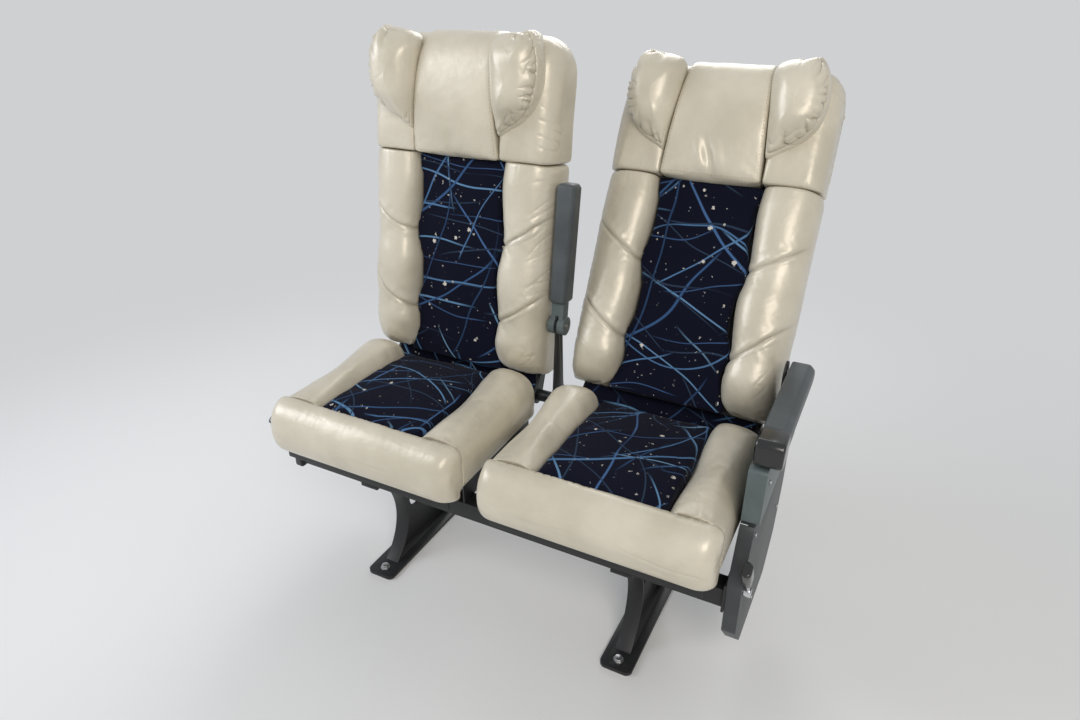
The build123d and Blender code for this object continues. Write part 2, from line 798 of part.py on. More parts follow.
# Backrests
for seat in ("window", "aisle"):
    write(on_back(back_core(), seat), "back_shell_" + seat)
    write(on_back(hinge_arms(seat), seat), "hinge_arms_" + seat)
    write(on_back(back_insert(), seat), "back_insert_" + seat)
    write(on_back(back_bolster(), seat), "back_bolster_right_" + seat)
    write(on_back(mirrored(back_bolster()), seat), "back_bolster_left_" + seat)
    write(on_back(headrest(), seat), "headrest_" + seat)
    write(on_back(wing(), seat), "headrest_wing_right_" + seat)
    write(on_back(mirrored(wing()), seat), "headrest_wing_left_" + seat)
    write(on_back(pocket(), seat), "back_pocket_" + seat)

# Centre armrest, folded up in line with the window back
raised = Pos(0, arm_pivot_y, arm_pivot_z) * Rot(-window_lean, 0, 0)
write(raised * centre_arm_neck(), "centre_arm_neck")
write(raised * centre_arm_pad(), "centre_arm_pad")
write(across_rod(-arm_boss_radius, arm_boss_radius, arm_pivot_y, arm_pivot_z, arm_pin_radius), "centre_arm_pin")

# Aisle armrest, folded down
lowered = Pos(0, arm_pivot_y, arm_pivot_z) * Rot(90, 0, 0)
write(lowered * aisle_arm(), "aisle_arm_pad")
write(lowered * aisle_cap(), "aisle_arm_cap")
aisle_pin = across_rod(plate_face - plate_thickness, arm_x0 + arm_pin_depth, arm_pivot_y, arm_pivot_z, arm_pin_radius)
write(aisle_pin, "aisle_arm_pin")

# Covers and recline levers
write(arm_panel(), "arm_panel_aisle")
write(side_shield() - lever_hole(), "side_shield_aisle")
write(mirrored(window_cover() - lever_hole()), "side_cover_window")
for seat, width in (("window", window_cover_width), ("aisle", shield_width)):
    rod, grip = lever(width)
    write(at_side(rod, seat), "recline_rod_" + seat)
    write(at_side(grip, seat), "recline_grip_" + seat)
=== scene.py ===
import math

import bpy
import numpy as np
from mathutils import Matrix, Vector, noise
from mathutils.bvhtree import BVHTree


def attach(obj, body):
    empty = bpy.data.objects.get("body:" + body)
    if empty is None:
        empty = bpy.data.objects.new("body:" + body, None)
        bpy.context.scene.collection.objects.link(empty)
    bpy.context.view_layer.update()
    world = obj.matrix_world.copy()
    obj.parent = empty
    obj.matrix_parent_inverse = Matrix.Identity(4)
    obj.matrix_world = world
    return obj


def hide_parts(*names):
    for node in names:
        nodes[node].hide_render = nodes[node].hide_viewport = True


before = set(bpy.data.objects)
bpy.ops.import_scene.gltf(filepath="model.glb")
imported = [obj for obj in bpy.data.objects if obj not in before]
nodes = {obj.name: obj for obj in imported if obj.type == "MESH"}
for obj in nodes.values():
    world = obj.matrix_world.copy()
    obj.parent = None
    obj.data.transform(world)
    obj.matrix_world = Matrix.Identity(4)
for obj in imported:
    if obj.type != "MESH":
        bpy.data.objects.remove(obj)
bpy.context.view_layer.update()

scene = bpy.context.scene
scene.view_settings.view_transform = "Standard"

seats = {
    "window": {"middle": -0.257, "lean": 8, "seed": 2.0},
    "aisle": {"middle": 0.257, "lean": 26, "seed": 9.0},
}
recline = {"y": 0.175, "z": 0.385}  # the axis both backs turn on
sides = ((1, "right"), (-1, "left"))
leftShift = 4.7  # added to a seat's seed on its left side, so that no two pads crease alike


def clearSelection():
    if bpy.context.object and bpy.context.object.mode != "OBJECT":
        bpy.ops.object.mode_set(mode="OBJECT")
    bpy.ops.object.select_all(action="DESELECT")


def pick(piece):
    clearSelection()
    piece.select_set(True)
    bpy.context.view_layer.objects.active = piece
    return piece


def finishModifier(piece, kind, **settings):
    pick(piece)
    modifier = piece.modifiers.new(kind.lower(), kind)
    for name, value in settings.items():
        setattr(modifier, name, value)
    bpy.ops.object.modifier_apply(modifier=modifier.name)


def roundEdges(piece, width, segments, angle):
    finishModifier(piece, "BEVEL", width=width, segments=segments, limit_method="ANGLE",
                   angle_limit=math.radians(angle))


def smoothUnder(piece, angle):  # only edges flatter than the angle are shaded smooth
    pick(piece)
    bpy.ops.object.shade_smooth_by_angle(angle=math.radians(angle))
    return piece


def joinPieces(pieces):
    pick(pieces[0])
    for piece in pieces:
        piece.select_set(True)
    bpy.ops.object.join()
    return pieces[0]


def settle(piece, name):  # the place goes into the mesh, so the object sits at the origin
    pick(piece)
    bpy.ops.object.transform_apply(location=True, rotation=True, scale=True)
    piece.name = name
    piece.data.name = name
    return piece


def linkPiece(name, mesh):
    piece = bpy.data.objects.new(name, mesh)
    scene.collection.objects.link(piece)
    return piece


def readVectors(vertices, name):
    flat = np.empty(len(vertices) * 3, np.float64)
    vertices.foreach_get(name, flat)
    return flat.reshape(-1, 3)


def readPoints(piece):
    return readVectors(piece.data.vertices, "co")


def writePoints(piece, points):
    piece.data.vertices.foreach_set("co", np.asarray(points, np.float64).ravel())
    piece.data.update()


def readSkin(piece):
    return readPoints(piece), readVectors(piece.data.vertices, "normal")


def smoothStep(low, high, value):
    share = np.clip((value - low) / (high - low), 0, 1)
    return share * share * (3 - 2 * share)


def bump(distance, width):  # 1 at no distance, fading to nothing past the width
    return np.exp(-(distance / width) ** 2)


def inRows(*parts):  # coordinates side by side, where one number may stand for a whole column
    return np.stack(np.broadcast_arrays(*parts), 1)


def noiseAt(*places):  # smooth noise at the points with these coordinates
    return np.array([noise.noise(Vector(p)) for p in inRows(*places)])


def noiseField(points, stretch, seed):
    return noiseAt(*(points * np.array(stretch) + seed).T)


def tilted(points, degrees):  # the points turned about the axis that runs front to back
    return points @ np.array(Matrix.Rotation(math.radians(degrees), 3, "Y")).T


def backPlace(which):  # from a back drawn upright about its pivot to where it leans
    side = seats[which]
    return Matrix.Translation((side["middle"], recline["y"], recline["z"])) @ Matrix.Rotation(
        -math.radians(side["lean"]), 4, "X")


def seatPlace(which):
    return Matrix.Translation((seats[which]["middle"], 0, 0))


mergeLook = {"apart": 0.00002, "flat": 1}  # points nearer than this are one, faces flatter than this too


def copyNode(node, name, place=None):
    mesh = nodes[node].data.copy()
    piece = linkPiece(name, mesh)
    mesh.transform(nodes[node].matrix_world)
    if place is not None:
        mesh.transform(place.inverted())
    mesh.materials.clear()
    pick(piece)
    bpy.ops.object.mode_set(mode="EDIT")
    bpy.ops.mesh.select_all(action="SELECT")
    bpy.ops.mesh.remove_doubles(threshold=mergeLook["apart"])
    bpy.ops.mesh.dissolve_limited(angle_limit=math.radians(mergeLook["flat"]))
    bpy.ops.mesh.normals_make_consistent(inside=False)
    bpy.ops.object.mode_set(mode="OBJECT")
    return piece


def toLinear(colour):
    parts = [int(colour[i:i + 2], 16) / 255 for i in (1, 3, 5)]
    return tuple(p / 12.92 if p <= 0.04045 else ((p + 0.055) / 1.055) ** 2.4 for p in parts) + (1,)


def addNode(material, kind, inputs=None, **settings):
    # inputs are values, colours, sockets, or nodes, of which the first output in use is taken
    node = material.node_tree.nodes.new("ShaderNode" + kind)
    for name, value in settings.items():
        setattr(node, name, value)
    for name, value in (inputs or {}).items():
        socket = node.inputs[name]
        if isinstance(value, bpy.types.Node):
            value = next(output for output in value.outputs if output.enabled)
        if isinstance(value, bpy.types.NodeSocket):
            material.node_tree.links.new(value, socket)
        else:
            socket.default_value = toLinear(value) if isinstance(value, str) else value
    return node


def startMaterial(name, onPanel=False):  # and where each point lies, in the piece or on its flat cloth
    material = bpy.data.materials.new(name)
    material.use_nodes = True
    material.node_tree.nodes.clear()
    if onPanel:
        return material, addNode(material, "UVMap", uv_map="panel")
    return material, addNode(material, "TexCoord").outputs["Object"]


def endMaterial(material, shader):
    addNode(material, "OutputMaterial", {"Surface": shader})
    return material


def spread(middle, below, above):  # the settings that map a pattern to a little below and above a value
    return {"To Min": middle - below, "To Max": middle + above}


# the crease colour is painted shade, which the vinyl darkens towards in creases, folds, pleats and along
# seams
vinylLook = {
    "lit": "#ddd6c4", "dull": "#cdc6b3", "creaseShade": "#8a826f",
    "roughness": 0.35, "metallic": 0.12, "coat": 0.28, "coatRoughness": 0.21,
    "grainSize": 0.0026, "grainDepth": 0.00012,  # drawn coarser than the real 1 mm, so that it shows
    "slackDepth": 0.0035, "fineDepth": 0.0007, "fineStretch": (34, 34, 15),
}


def makeVinyl():
    # PVC leathercloth, calendered with a pearl top coat: a soft broad highlight over a fine grain
    look = vinylLook
    m, place = startMaterial("PVC leathercloth, calendered")
    patches = addNode(m, "TexNoise", {"Vector": place, "Scale": 9.0, "Detail": 4.0})
    patchShare = addNode(m, "MapRange", {"Value": patches, "From Min": 0.35, "From Max": 0.65})
    cream = addNode(m, "Mix", {0: patchShare, 6: look["lit"], 7: look["dull"]}, data_type="RGBA")
    # painted shade: the cream turns towards the crease colour in creases, folds, pleats and along seams
    fold = addNode(m, "Attribute", attribute_name="creaseShade")
    creaseShaded = addNode(m, "Mix", {0: fold.outputs["Fac"], 6: cream, 7: look["creaseShade"]}, data_type="RGBA")
    slack = addNode(m, "TexNoise", {"Vector": place, "Scale": 38.0, "Detail": 2.0})
    slackBump = addNode(m, "Bump", {"Height": slack, "Distance": look["slackDepth"], "Strength": 0.35})
    drawn = addNode(m, "Mapping", {
        "Vector": place, "Rotation": (0.3, 0.5, 0.2), "Scale": look["fineStretch"]})
    fine = addNode(m, "TexNoise", {
        "Vector": drawn, "Scale": 1.0, "Detail": 5.0, "Roughness": 0.55},
        noise_type="RIDGED_MULTIFRACTAL")
    fineBump = addNode(m, "Bump", {
        "Height": fine, "Distance": look["fineDepth"], "Strength": 0.30, "Normal": slackBump})
    grain = addNode(m, "TexVoronoi", {"Vector": place, "Scale": 1 / look["grainSize"]},
                    feature="SMOOTH_F1")
    grainBump = addNode(m, "Bump", {
        "Height": grain, "Distance": look["grainDepth"], "Strength": 0.6, "Normal": fineBump})
    rub = addNode(m, "TexNoise", {"Vector": place, "Scale": 21.0, "Detail": 5.0})
    rough = addNode(m, "MapRange", {"Value": rub, **spread(look["roughness"], 0.06, 0.08)})
    shader = addNode(m, "BsdfPrincipled", {
        "Base Color": creaseShaded, "Roughness": rough, "Metallic": look["metallic"],
        "IOR": 1.5, "Coat Weight": look["coat"], "Coat Roughness": look["coatRoughness"],
        "Normal": grainBump})
    return endMaterial(m, shader)


waveRate = 0.31416  # a wave texture at scale 0.31416 / d repeats every d metres


def addWeave(m, sheet, pitch):  # where warp crosses weft the cloth stands highest
    warp, weft = (addNode(m, "TexWave", {"Vector": sheet, "Scale": waveRate / pitch},
                          bands_direction=way) for way in "XY")
    return addNode(m, "Math", {0: warp.outputs["Fac"], 1: weft.outputs["Fac"]}, operation="MULTIPLY")


clothLook = {
    "ground": "#080a14", "lift": "#10142a",
    "weave": 0.0016, "weaveDepth": 0.0003,  # drawn coarser than the real 0.7 mm, so that it shows
    "strokeEdge": 0.0024, "strokeCore": 0.0007, "breaks": 4.6, "ragged": 0.0075, "speckSize": 0.30,
    "strokes": [  # centre across and up, spacing, bend, start, colour, how much of it shows, width
        (0.10, -0.60, 0.150, 2.6, 0.4, "#6088ae", 0.46, 1.0),
        (-0.55, -0.15, 0.170, 3.2, 1.9, "#456694", 0.46, 1.2),
        (0.75, 0.60, 0.160, 2.6, 3.1, "#7096b6", 0.49, 0.7),
        (-0.35, 1.05, 0.185, 3.4, 4.4, "#375680", 0.44, 1.0),
        (0.05, -0.30, 0.125, 3.0, 5.2, "#2c3c50", 0.42, 0.8),
        (0.20, 1.40, 0.120, 2.4, 2.6, "#38527a", 0.46, 0.7),
        (0.30, -0.75, 0.131, 3.8, 0.9, "#2c3b50", 0.44, 1.1),
        (-0.10, 1.25, 0.190, 3.0, 1.3, "#5278a2", 0.45, 0.8),
        (0.42, 0.30, 0.142, 2.2, 2.2, "#4c7099", 0.47, 0.9),
        (-0.30, 0.45, 0.155, 2.4, 0.2, "#2a4162", 0.44, 0.9),
    ],
    "specks": [  # apart, share left out, colour
        (0.0115, 0.50, "#8b9097"), (0.0170, 0.42, "#b3b1ab"), (0.031, 0.40, "#cfccc4")],
}


def makeCloth():
    # woven moquette, printed with sweeping strokes and flecks on a near-black ground
    look = clothLook
    m, sheet = startMaterial("moquette, woven and printed", onPanel=True)
    wobble = addNode(m, "TexNoise", {"Vector": sheet, "Scale": 5.0, "Detail": 1.0})
    bent = addNode(m, "VectorMath", {0: wobble.outputs["Color"], "Scale": 0.05}, operation="SCALE")
    moved = addNode(m, "VectorMath", {0: sheet, 1: bent}, operation="ADD")
    fibre = addNode(m, "TexNoise", {"Vector": sheet, "Scale": 900.0, "Detail": 2.0})
    colour = addNode(m, "Mix", {0: fibre, 6: look["ground"], 7: look["lift"]}, data_type="RGBA")
    for across, up, spacing, bend, start, ink, shown, width in look["strokes"]:
        centre = addNode(m, "Mapping", {"Vector": moved, "Location": (-across, -up, 0)})
        ring = addNode(m, "TexWave", {
            "Vector": centre, "Scale": waveRate / spacing, "Distortion": bend, "Detail": 0.0,
            "Detail Scale": 1.2, "Phase Offset": start}, wave_type="RINGS", rings_direction="SPHERICAL")
        line = addNode(m, "MapRange", {
            "Value": ring.outputs["Fac"], "From Min": 1 - look["strokeEdge"] * width,
            "From Max": 1 - look["strokeCore"] * width})
        breaks = addNode(m, "TexNoise", {"Vector": centre, "Scale": look["breaks"], "Detail": 0.0})
        kept = addNode(m, "MapRange", {
            "Value": breaks, "From Min": shown - 0.03, "From Max": shown + 0.05})
        stroke = addNode(m, "Math", {0: line, 1: kept}, operation="MULTIPLY")
        colour = addNode(m, "Mix", {0: stroke, 6: colour, 7: ink}, data_type="RGBA")
    rough = addNode(m, "TexNoise", {"Vector": sheet, "Scale": 330.0, "Detail": 1.0})
    ragged = addNode(m, "VectorMath", {0: rough.outputs["Color"], "Scale": look["ragged"]},
                     operation="SCALE")
    spot = addNode(m, "VectorMath", {0: sheet, 1: ragged}, operation="ADD")
    for size, chance, pale in look["specks"]:
        cells = addNode(m, "TexVoronoi", {"Vector": spot, "Scale": 1 / size, "Randomness": 1.0})
        chosen = addNode(m, "SeparateColor", {0: cells.outputs["Color"]})
        radius = addNode(m, "Math", {0: chosen, 1: chance}, operation="SUBTRACT")
        reach = addNode(m, "Math", {0: radius, 1: look["speckSize"]}, operation="MULTIPLY")
        inside = addNode(m, "Math", {0: reach, 1: cells.outputs["Distance"]}, operation="SUBTRACT")
        fleck = addNode(m, "MapRange", {"Value": inside, "From Min": 0.0, "From Max": 0.02})
        colour = addNode(m, "Mix", {0: fleck, 6: colour, 7: pale}, data_type="RGBA")
    weave = addNode(m, "Bump", {
        "Height": addWeave(m, sheet, look["weave"]), "Distance": look["weaveDepth"], "Strength": 0.5})
    shader = addNode(m, "BsdfPrincipled", {
        "Base Color": colour, "Roughness": 0.92, "Sheen Weight": 0.04, "Sheen Roughness": 0.40,
        "Specular IOR Level": 0.12, "Normal": weave})
    return endMaterial(m, shader)


def makePlastic(name, colour, worn, roughness, grain, depth, coat=0.0):
    # moulded plastic: an even satin face whose grain is the mould's etching, rubbed lighter in patches
    m, place = startMaterial(name)
    patches = addNode(m, "TexNoise", {"Vector": place, "Scale": 14.0, "Detail": 6.0})
    share = addNode(m, "MapRange", {"Value": patches, "From Min": 0.42, "From Max": 0.75})
    tint = addNode(m, "Mix", {0: share, 6: colour, 7: worn}, data_type="RGBA")
    etched = addNode(m, "TexNoise", {"Vector": place, "Scale": 0.7 / grain, "Detail": 3.0})
    relief = addNode(m, "Bump", {"Height": etched, "Distance": depth, "Strength": 0.7})
    rough = addNode(m, "MapRange", {"Value": patches, **spread(roughness, 0.05, 0.07)})
    shader = addNode(m, "BsdfPrincipled", {
        "Base Color": tint, "Roughness": rough, "IOR": 1.5, "Coat Weight": coat,
        "Coat Roughness": 0.12, "Normal": relief})
    return endMaterial(m, shader)


def makeMetal(name, colour, roughness, streak, metallic, depth):
    # plated or painted steel: streak is how far the surface is drawn out along its length
    m, place = startMaterial(name)
    drawn = addNode(m, "Mapping", {"Vector": place, "Scale": streak})
    marks = addNode(m, "TexNoise", {"Vector": drawn, "Scale": 1.0, "Detail": 6.0})
    value = addNode(m, "MapRange", {"Value": marks, "To Min": 0.82, "To Max": 1.15})
    tint = addNode(m, "HueSaturation", {"Color": colour, "Value": value})
    rough = addNode(m, "MapRange", {"Value": marks, **spread(roughness, 0.08, 0.10)})
    relief = addNode(m, "Bump", {"Height": marks, "Distance": depth, "Strength": 0.4})
    shader = addNode(m, "BsdfPrincipled", {
        "Base Color": tint, "Roughness": rough, "Metallic": metallic, "Normal": relief})
    return endMaterial(m, shader)


def makeWoven(name, dark, light, pitch):
    # a close plain weave, its threads drawn coarser than they are so that they show, faded in patches
    m, sheet = startMaterial(name, onPanel=True)
    over = addWeave(m, sheet, pitch)
    fade = addNode(m, "TexNoise", {"Vector": sheet, "Scale": 14.0, "Detail": 3.0})
    share = addNode(m, "Math", {0: over, 1: fade}, operation="MULTIPLY")
    tint = addNode(m, "Mix", {0: share, 6: dark, 7: light}, data_type="RGBA")
    relief = addNode(m, "Bump", {"Height": over, "Distance": 0.0004, "Strength": 0.6})
    shader = addNode(m, "BsdfPrincipled", {
        "Base Color": tint, "Roughness": 0.85, "Sheen Weight": 0.1, "Specular IOR Level": 0.2,
        "Normal": relief})
    return endMaterial(m, shader)


def makeThread():
    # bonded polyester thread, twisted: two tones that run round it
    m, place = startMaterial("polyester thread, bonded")
    ply = addNode(m, "TexWave", {"Vector": place, "Scale": 260.0, "Distortion": 1.5},
                  bands_direction="DIAGONAL").outputs["Fac"]
    tint = addNode(m, "Mix", {0: ply, 6: "#8f8470", 7: "#c9bea8"}, data_type="RGBA")
    relief = addNode(m, "Bump", {"Height": ply, "Distance": 0.0002, "Strength": 0.5})
    shader = addNode(m, "BsdfPrincipled", {"Base Color": tint, "Roughness": 0.6, "Normal": relief})
    return endMaterial(m, shader)


vinyl = makeVinyl()
thread = makeThread()
pocketCloth = makeWoven("polyester, close weave", "#1a1e25", "#4a5361", 0.0022)
elastic = makeWoven("elastic, bound edge", "#0e1014", "#2c3138", 0.0030)
moquette = makeCloth()
slate = makePlastic("PU skin, moulded slate", "#454b4e", "#545b5f", 0.40, 0.0018, 0.00015)
blueGrey = makePlastic("ABS, moulded blue-grey", "#545f61", "#626d6f", 0.40, 0.0016, 0.00010)
darkShield = makePlastic("ABS, moulded dark slate", "#34383b", "#43484b", 0.45, 0.0018, 0.00015)
glossBlack = makePlastic("ABS, moulded gloss black", "#151617", "#1f2021", 0.22, 0.004, 0.00004, 0.4)
backGrain = makePlastic("ABS, moulded with leather grain", "#3a3d40", "#484b4f", 0.52, 0.0030, 0.00035)
powderCoat = makeMetal("steel, powder coated satin black", "#1d1e20", 0.48, (420, 420, 420), 0.0, 0.00008)
zincSteel = makeMetal("steel, zinc plated", "#b9bbbd", 0.34, (90, 90, 90), 1.0, 0.00003)
chromeSteel = makeMetal("steel, ground and chromed", "#d6d7d9", 0.12, (40, 900, 900), 1.0, 0.00001)
springPaint = makeMetal("steel, enamelled black", "#161616", 0.28, (60, 60, 60), 0.0, 0.00002)
print("materials made")


def softRing(control, steps):  # a closed smooth line drawn between control points
    control = np.asarray(control, float)
    count = len(control)
    first = np.floor(steps).astype(int)
    f = (steps - first)[:, None]
    a, b, c, d = (control[(first + k) % count] for k in (-1, 0, 1, 2))
    return ((1 - f) ** 3 * a + (3 * f ** 3 - 6 * f ** 2 + 4) * b
            + (-3 * f ** 3 + 3 * f ** 2 + 3 * f + 1) * c + f ** 3 * d) / 6


def evenSteps(control, count):  # where along that line its points are evenly spaced
    fine = np.linspace(0, len(control), 2001)
    line = softRing(control, fine)
    run = np.concatenate([[0], np.cumsum(np.linalg.norm(np.diff(line, axis=0), axis=1))])
    return np.interp(np.arange(count) / count * run[-1], run, fine)


def evenRing(control, count):
    return softRing(control, evenSteps(control, count))


def easeThrough(keys, at):  # values at keyed places, joined smoothly
    places, values = np.array(keys, float).T
    slopes = np.gradient(values, places)
    k = np.clip(np.searchsorted(places, at) - 1, 0, len(places) - 2)
    span = places[k + 1] - places[k]
    t = np.clip((at - places[k]) / span, 0, 1)
    return ((2 * t ** 3 - 3 * t ** 2 + 1) * values[k] + (t ** 3 - 2 * t ** 2 + t) * span * slopes[k]
            + (-2 * t ** 3 + 3 * t ** 2) * values[k + 1] + (t ** 3 - t ** 2) * span * slopes[k + 1])


def drawnIn(ring, amount):  # a flat ring moved inwards along its own normals
    along = np.roll(ring, -1, 0) - np.roll(ring, 1, 0)
    side = np.stack([along[:, 1], -along[:, 0]], 1)
    side /= np.maximum(np.linalg.norm(side, axis=1), 1e-9)[:, None]
    area = np.sum(ring[:, 0] * np.roll(ring[:, 1], -1) - np.roll(ring[:, 0], -1) * ring[:, 1])
    return ring - side * amount * (1 if area > 0 else -1)


def edgeRound(distance, radius):  # how far a face has drawn in, this far from the seam
    inside = np.clip(radius - distance, 0, radius)
    return float(radius - np.sqrt(np.clip(radius ** 2 - inside ** 2, 0, None)))


def arcDrop(x, end, radius):  # how far a round corner has fallen away, 0 where it starts to 1 at its end
    share = np.clip((x - (end - radius)) / radius, 0, 0.9995)
    return 1 - np.sqrt(1 - share ** 2)


def sharesBetween(first, last, count, before, after):  # even shares, with more of them near both ends
    inner = np.linspace(first, last, count)[1:-1]
    return np.concatenate([before, inner, after])


capLook = {"shares": (0.86, 0.72, 0.58, 0.44, 0.30, 0.17, 0.06), "eased": 6}  # the rings that fill an end


def skinRings(name, rings):  # rings of points become a closed skin, its ends filled
    rings = [np.asarray(r, float) for r in rings]
    for end in (0, -1):
        middle = rings[end].mean(0)
        inner = [middle + (rings[end] - middle) * s for s in capLook["shares"]]
        rings = inner[::-1] + rings if end == 0 else rings + inner
    count = len(rings[0])
    points = np.concatenate(rings)
    turn = np.arange(count)
    after = (turn + 1) % count
    faces = []
    for low in range(0, len(points) - count, count):
        high = low + count
        faces += np.stack([low + turn, low + after, high + after, high + turn], 1).tolist()
    last = len(points) - count
    faces.append(list(range(count))[::-1])
    faces.append(list(range(last, last + count)))
    mesh = bpy.data.meshes.new(name)
    mesh.from_pydata(points.tolist(), [], faces)
    piece = linkPiece(name, mesh)
    pick(piece)
    bpy.ops.object.mode_set(mode="EDIT")
    bpy.ops.mesh.select_all(action="SELECT")
    bpy.ops.mesh.normals_make_consistent(inside=False)
    bpy.ops.object.mode_set(mode="OBJECT")
    eased = capLook["eased"] * count
    ends = piece.vertex_groups.new(name="ends")
    ends.add(list(range(eased)) + list(range(len(points) - eased, len(points))), 1.0, "REPLACE")
    return piece


fillLook = {
    "frames": 20, "endPasses": 24, "passes": 2,
    "fullest": 96,  # the percentile of the moves that is held to the cap
    "cloth": {
        "quality": 4, "mass": 0.2, "tension_stiffness": 15.0, "compression_stiffness": 15.0,
        "shear_stiffness": 5, "bending_stiffness": 0.6, "use_pressure": True,
        "uniform_pressure_force": 4.0},
}


def fillPad(piece, cap, sewn=None, divide=1):
    # inflated by the cloth solver, with the seams held where they are sewn
    look = fillLook
    start = readPoints(piece)
    pick(piece)
    cloth = piece.modifiers.new("filling", "CLOTH")
    for name, value in look["cloth"].items():
        setattr(cloth.settings, name, value)
    cloth.settings.effector_weights.gravity = 0
    if sewn is not None:
        group = piece.vertex_groups.new(name="sewn")
        for index in np.nonzero(sewn > 0.01)[0]:
            group.add([int(index)], float(sewn[index]), "REPLACE")
        cloth.settings.vertex_group_mass = "sewn"
    for step in range(1, look["frames"] + 1):
        scene.frame_set(step)
    swollen = piece.evaluated_get(bpy.context.evaluated_depsgraph_get())
    move = readPoints(swollen) - start
    piece.modifiers.remove(cloth)
    scene.frame_set(1)
    if sewn is None:
        move -= move.mean(0)
    most = np.percentile(np.linalg.norm(move, axis=1), look["fullest"])
    move *= min(1.0, cap / max(most, 1e-6))
    length = np.linalg.norm(move, axis=1)
    move *= (np.minimum(length, cap) / np.maximum(length, 1e-9))[:, None]
    writePoints(piece, start + move)
    print("filled", piece.name, len(start), "points, moved", round(float(most) * 1000, 1), "mm")
    if "ends" in piece.vertex_groups:
        finishModifier(piece, "SMOOTH", factor=0.5, iterations=look["endPasses"], vertex_group="ends")
    piece.vertex_groups.clear()
    finishModifier(piece, "SMOOTH", factor=0.5, iterations=look["passes"])
    if divide:
        finishModifier(piece, "SUBSURF", levels=divide, render_levels=divide)


def puckers(along, away, seed, apart=0.013, length=0.016):  # short creases that start at a seam, 0 to 1
    lines = noiseAt(along / apart, away * 9, seed)
    strength = np.clip(0.45 + 1.3 * noiseAt(along / apart * 0.23, 3.1, seed + 8), 0, 1)
    sharp = np.clip(1 - np.abs(lines) * 4.5, 0, 1) ** 1.5
    return strength * sharp * np.exp(-np.abs(away) / length) * (away > -0.003)


def inPatches(points, stretch, seed, low, gain):  # 0 to 1, smooth from one patch to the next
    return np.clip(low + gain * noiseField(points, stretch, seed), 0, 1)


def ridges(waves, sharp):  # fine lines where a noise crosses zero
    return np.clip(1 - np.abs(waves) * sharp, 0, 1) ** 2


def markPanel(piece, layout):  # where each point lies on the flat cloth, in metres
    layer = piece.data.uv_layers.new(name="panel")
    corner = np.empty(len(piece.data.loops), np.int64)
    piece.data.loops.foreach_get("vertex_index", corner)
    flat = inRows(*layout(*readPoints(piece).T))[corner]
    layer.data.foreach_set("uv", flat.astype(np.float32).ravel())


def markCreaseShade(piece, depth):  # how deep in a crease each point lies, which the vinyl shows darker as painted shade
    layer = piece.data.attributes.new("creaseShade", "FLOAT", "POINT")
    layer.data.foreach_set("value", np.clip(depth, 0, 1).astype(np.float32))


def besideFold(points, start, end, bow):  # share along a fold seen from the front, and distance above it
    across = end[0] - start[0]
    up = end[1] - start[1]
    length = math.hypot(across, up)
    share = ((points[:, 0] - start[0]) * across + (points[:, 2] - start[1]) * up) / length ** 2
    side = ((points[:, 2] - start[1]) * across - (points[:, 0] - start[0]) * up) / length
    return share, side - bow * 4 * share * (1 - share)


def handOver(piece, material, body, node=None):
    # what it is made of, the body it moves with and the CAD node it stands for
    piece.data.materials.clear()
    piece.data.materials.append(material)
    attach(piece, body)
    if node:
        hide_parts(node)


skins = {"vinyl": (vinyl, "cream_vinyl"), "cloth": (moquette, "patterned_cloth")}


def carryPad(which, side, word, pad, skin, onBack):
    source, name, node, detail = pad
    material, slotName = skins[skin]
    mesh = source.data.copy()
    piece = linkPiece(name.replace("*", word) + which, mesh)
    points, normals = readSkin(piece)
    move, marks = detail(points, normals, seats[which]["seed"] + (0 if side > 0 else leftShift))
    writePoints(piece, points + normals * move[:, None])
    if skin == "cloth":
        markPanel(piece, marks)
    else:
        markCreaseShade(piece, marks)
    if side < 0:
        mesh.transform(Matrix.Scale(-1, 4, (1, 0, 0)))
        mesh.flip_normals()
    mesh.transform(backPlace(which) if onBack else seatPlace(which))
    mesh.shade_smooth()
    handOver(piece, material, "back_" + which if onBack else "base",
             node and node.replace("*", word) + which)


def carryPads(pads, skin="vinyl", onBack=True):
    # each pad goes to both seats: a * in its name stands for the side, the left a mirror of the right
    for which in seats:
        for pad in pads:
            for side, word in sides if "*" in pad[1] else sides[:1]:
                carryPad(which, side, word, pad, skin, onBack)
    for pad in pads:
        bpy.data.objects.remove(pad[0])


bolsterLook = {  # widths and reaches are at shares of the height
    "low": 0.0585, "high": 0.5345, "outer": 0.2275, "wrap": 0.2055, "around": 84, "up": 92,
    "widths": [
        (0, 0.100), (0.06, 0.112), (0.16, 0.120), (0.26, 0.114), (0.36, 0.119), (0.50, 0.123),
        (0.63, 0.114), (0.75, 0.118), (0.90, 0.121), (1, 0.117)],
    "reaches": [
        (0, 0.050), (0.06, 0.073), (0.16, 0.093), (0.26, 0.091), (0.38, 0.095), (0.50, 0.093),
        (0.63, 0.084), (0.75, 0.085), (0.90, 0.083), (1, 0.078)],
    "slack": 0.0045, "cap": 0.0055, "footRadius": 0.034, "topRadius": 0.016, "edge": 0.004,
    "folds": [  # inner end (across, up), outer end, depth
        ((0.108, 0.352), (0.229, 0.428), 0.0040), ((0.108, 0.172), (0.229, 0.266), 0.0044)],
    "foldBow": -0.006, "foldWidth": 0.0030, "foldShift": 0.005, "waver": 0.0018, "lap": 0.40,
    "second": 0.0022, "pulls": 0.0011,
    "ripple": 0.0017, "rippleTurn": 36, "pullTurn": -50, "uneven": 0.0030, "pucker": (0.0015, 0.0012),
}


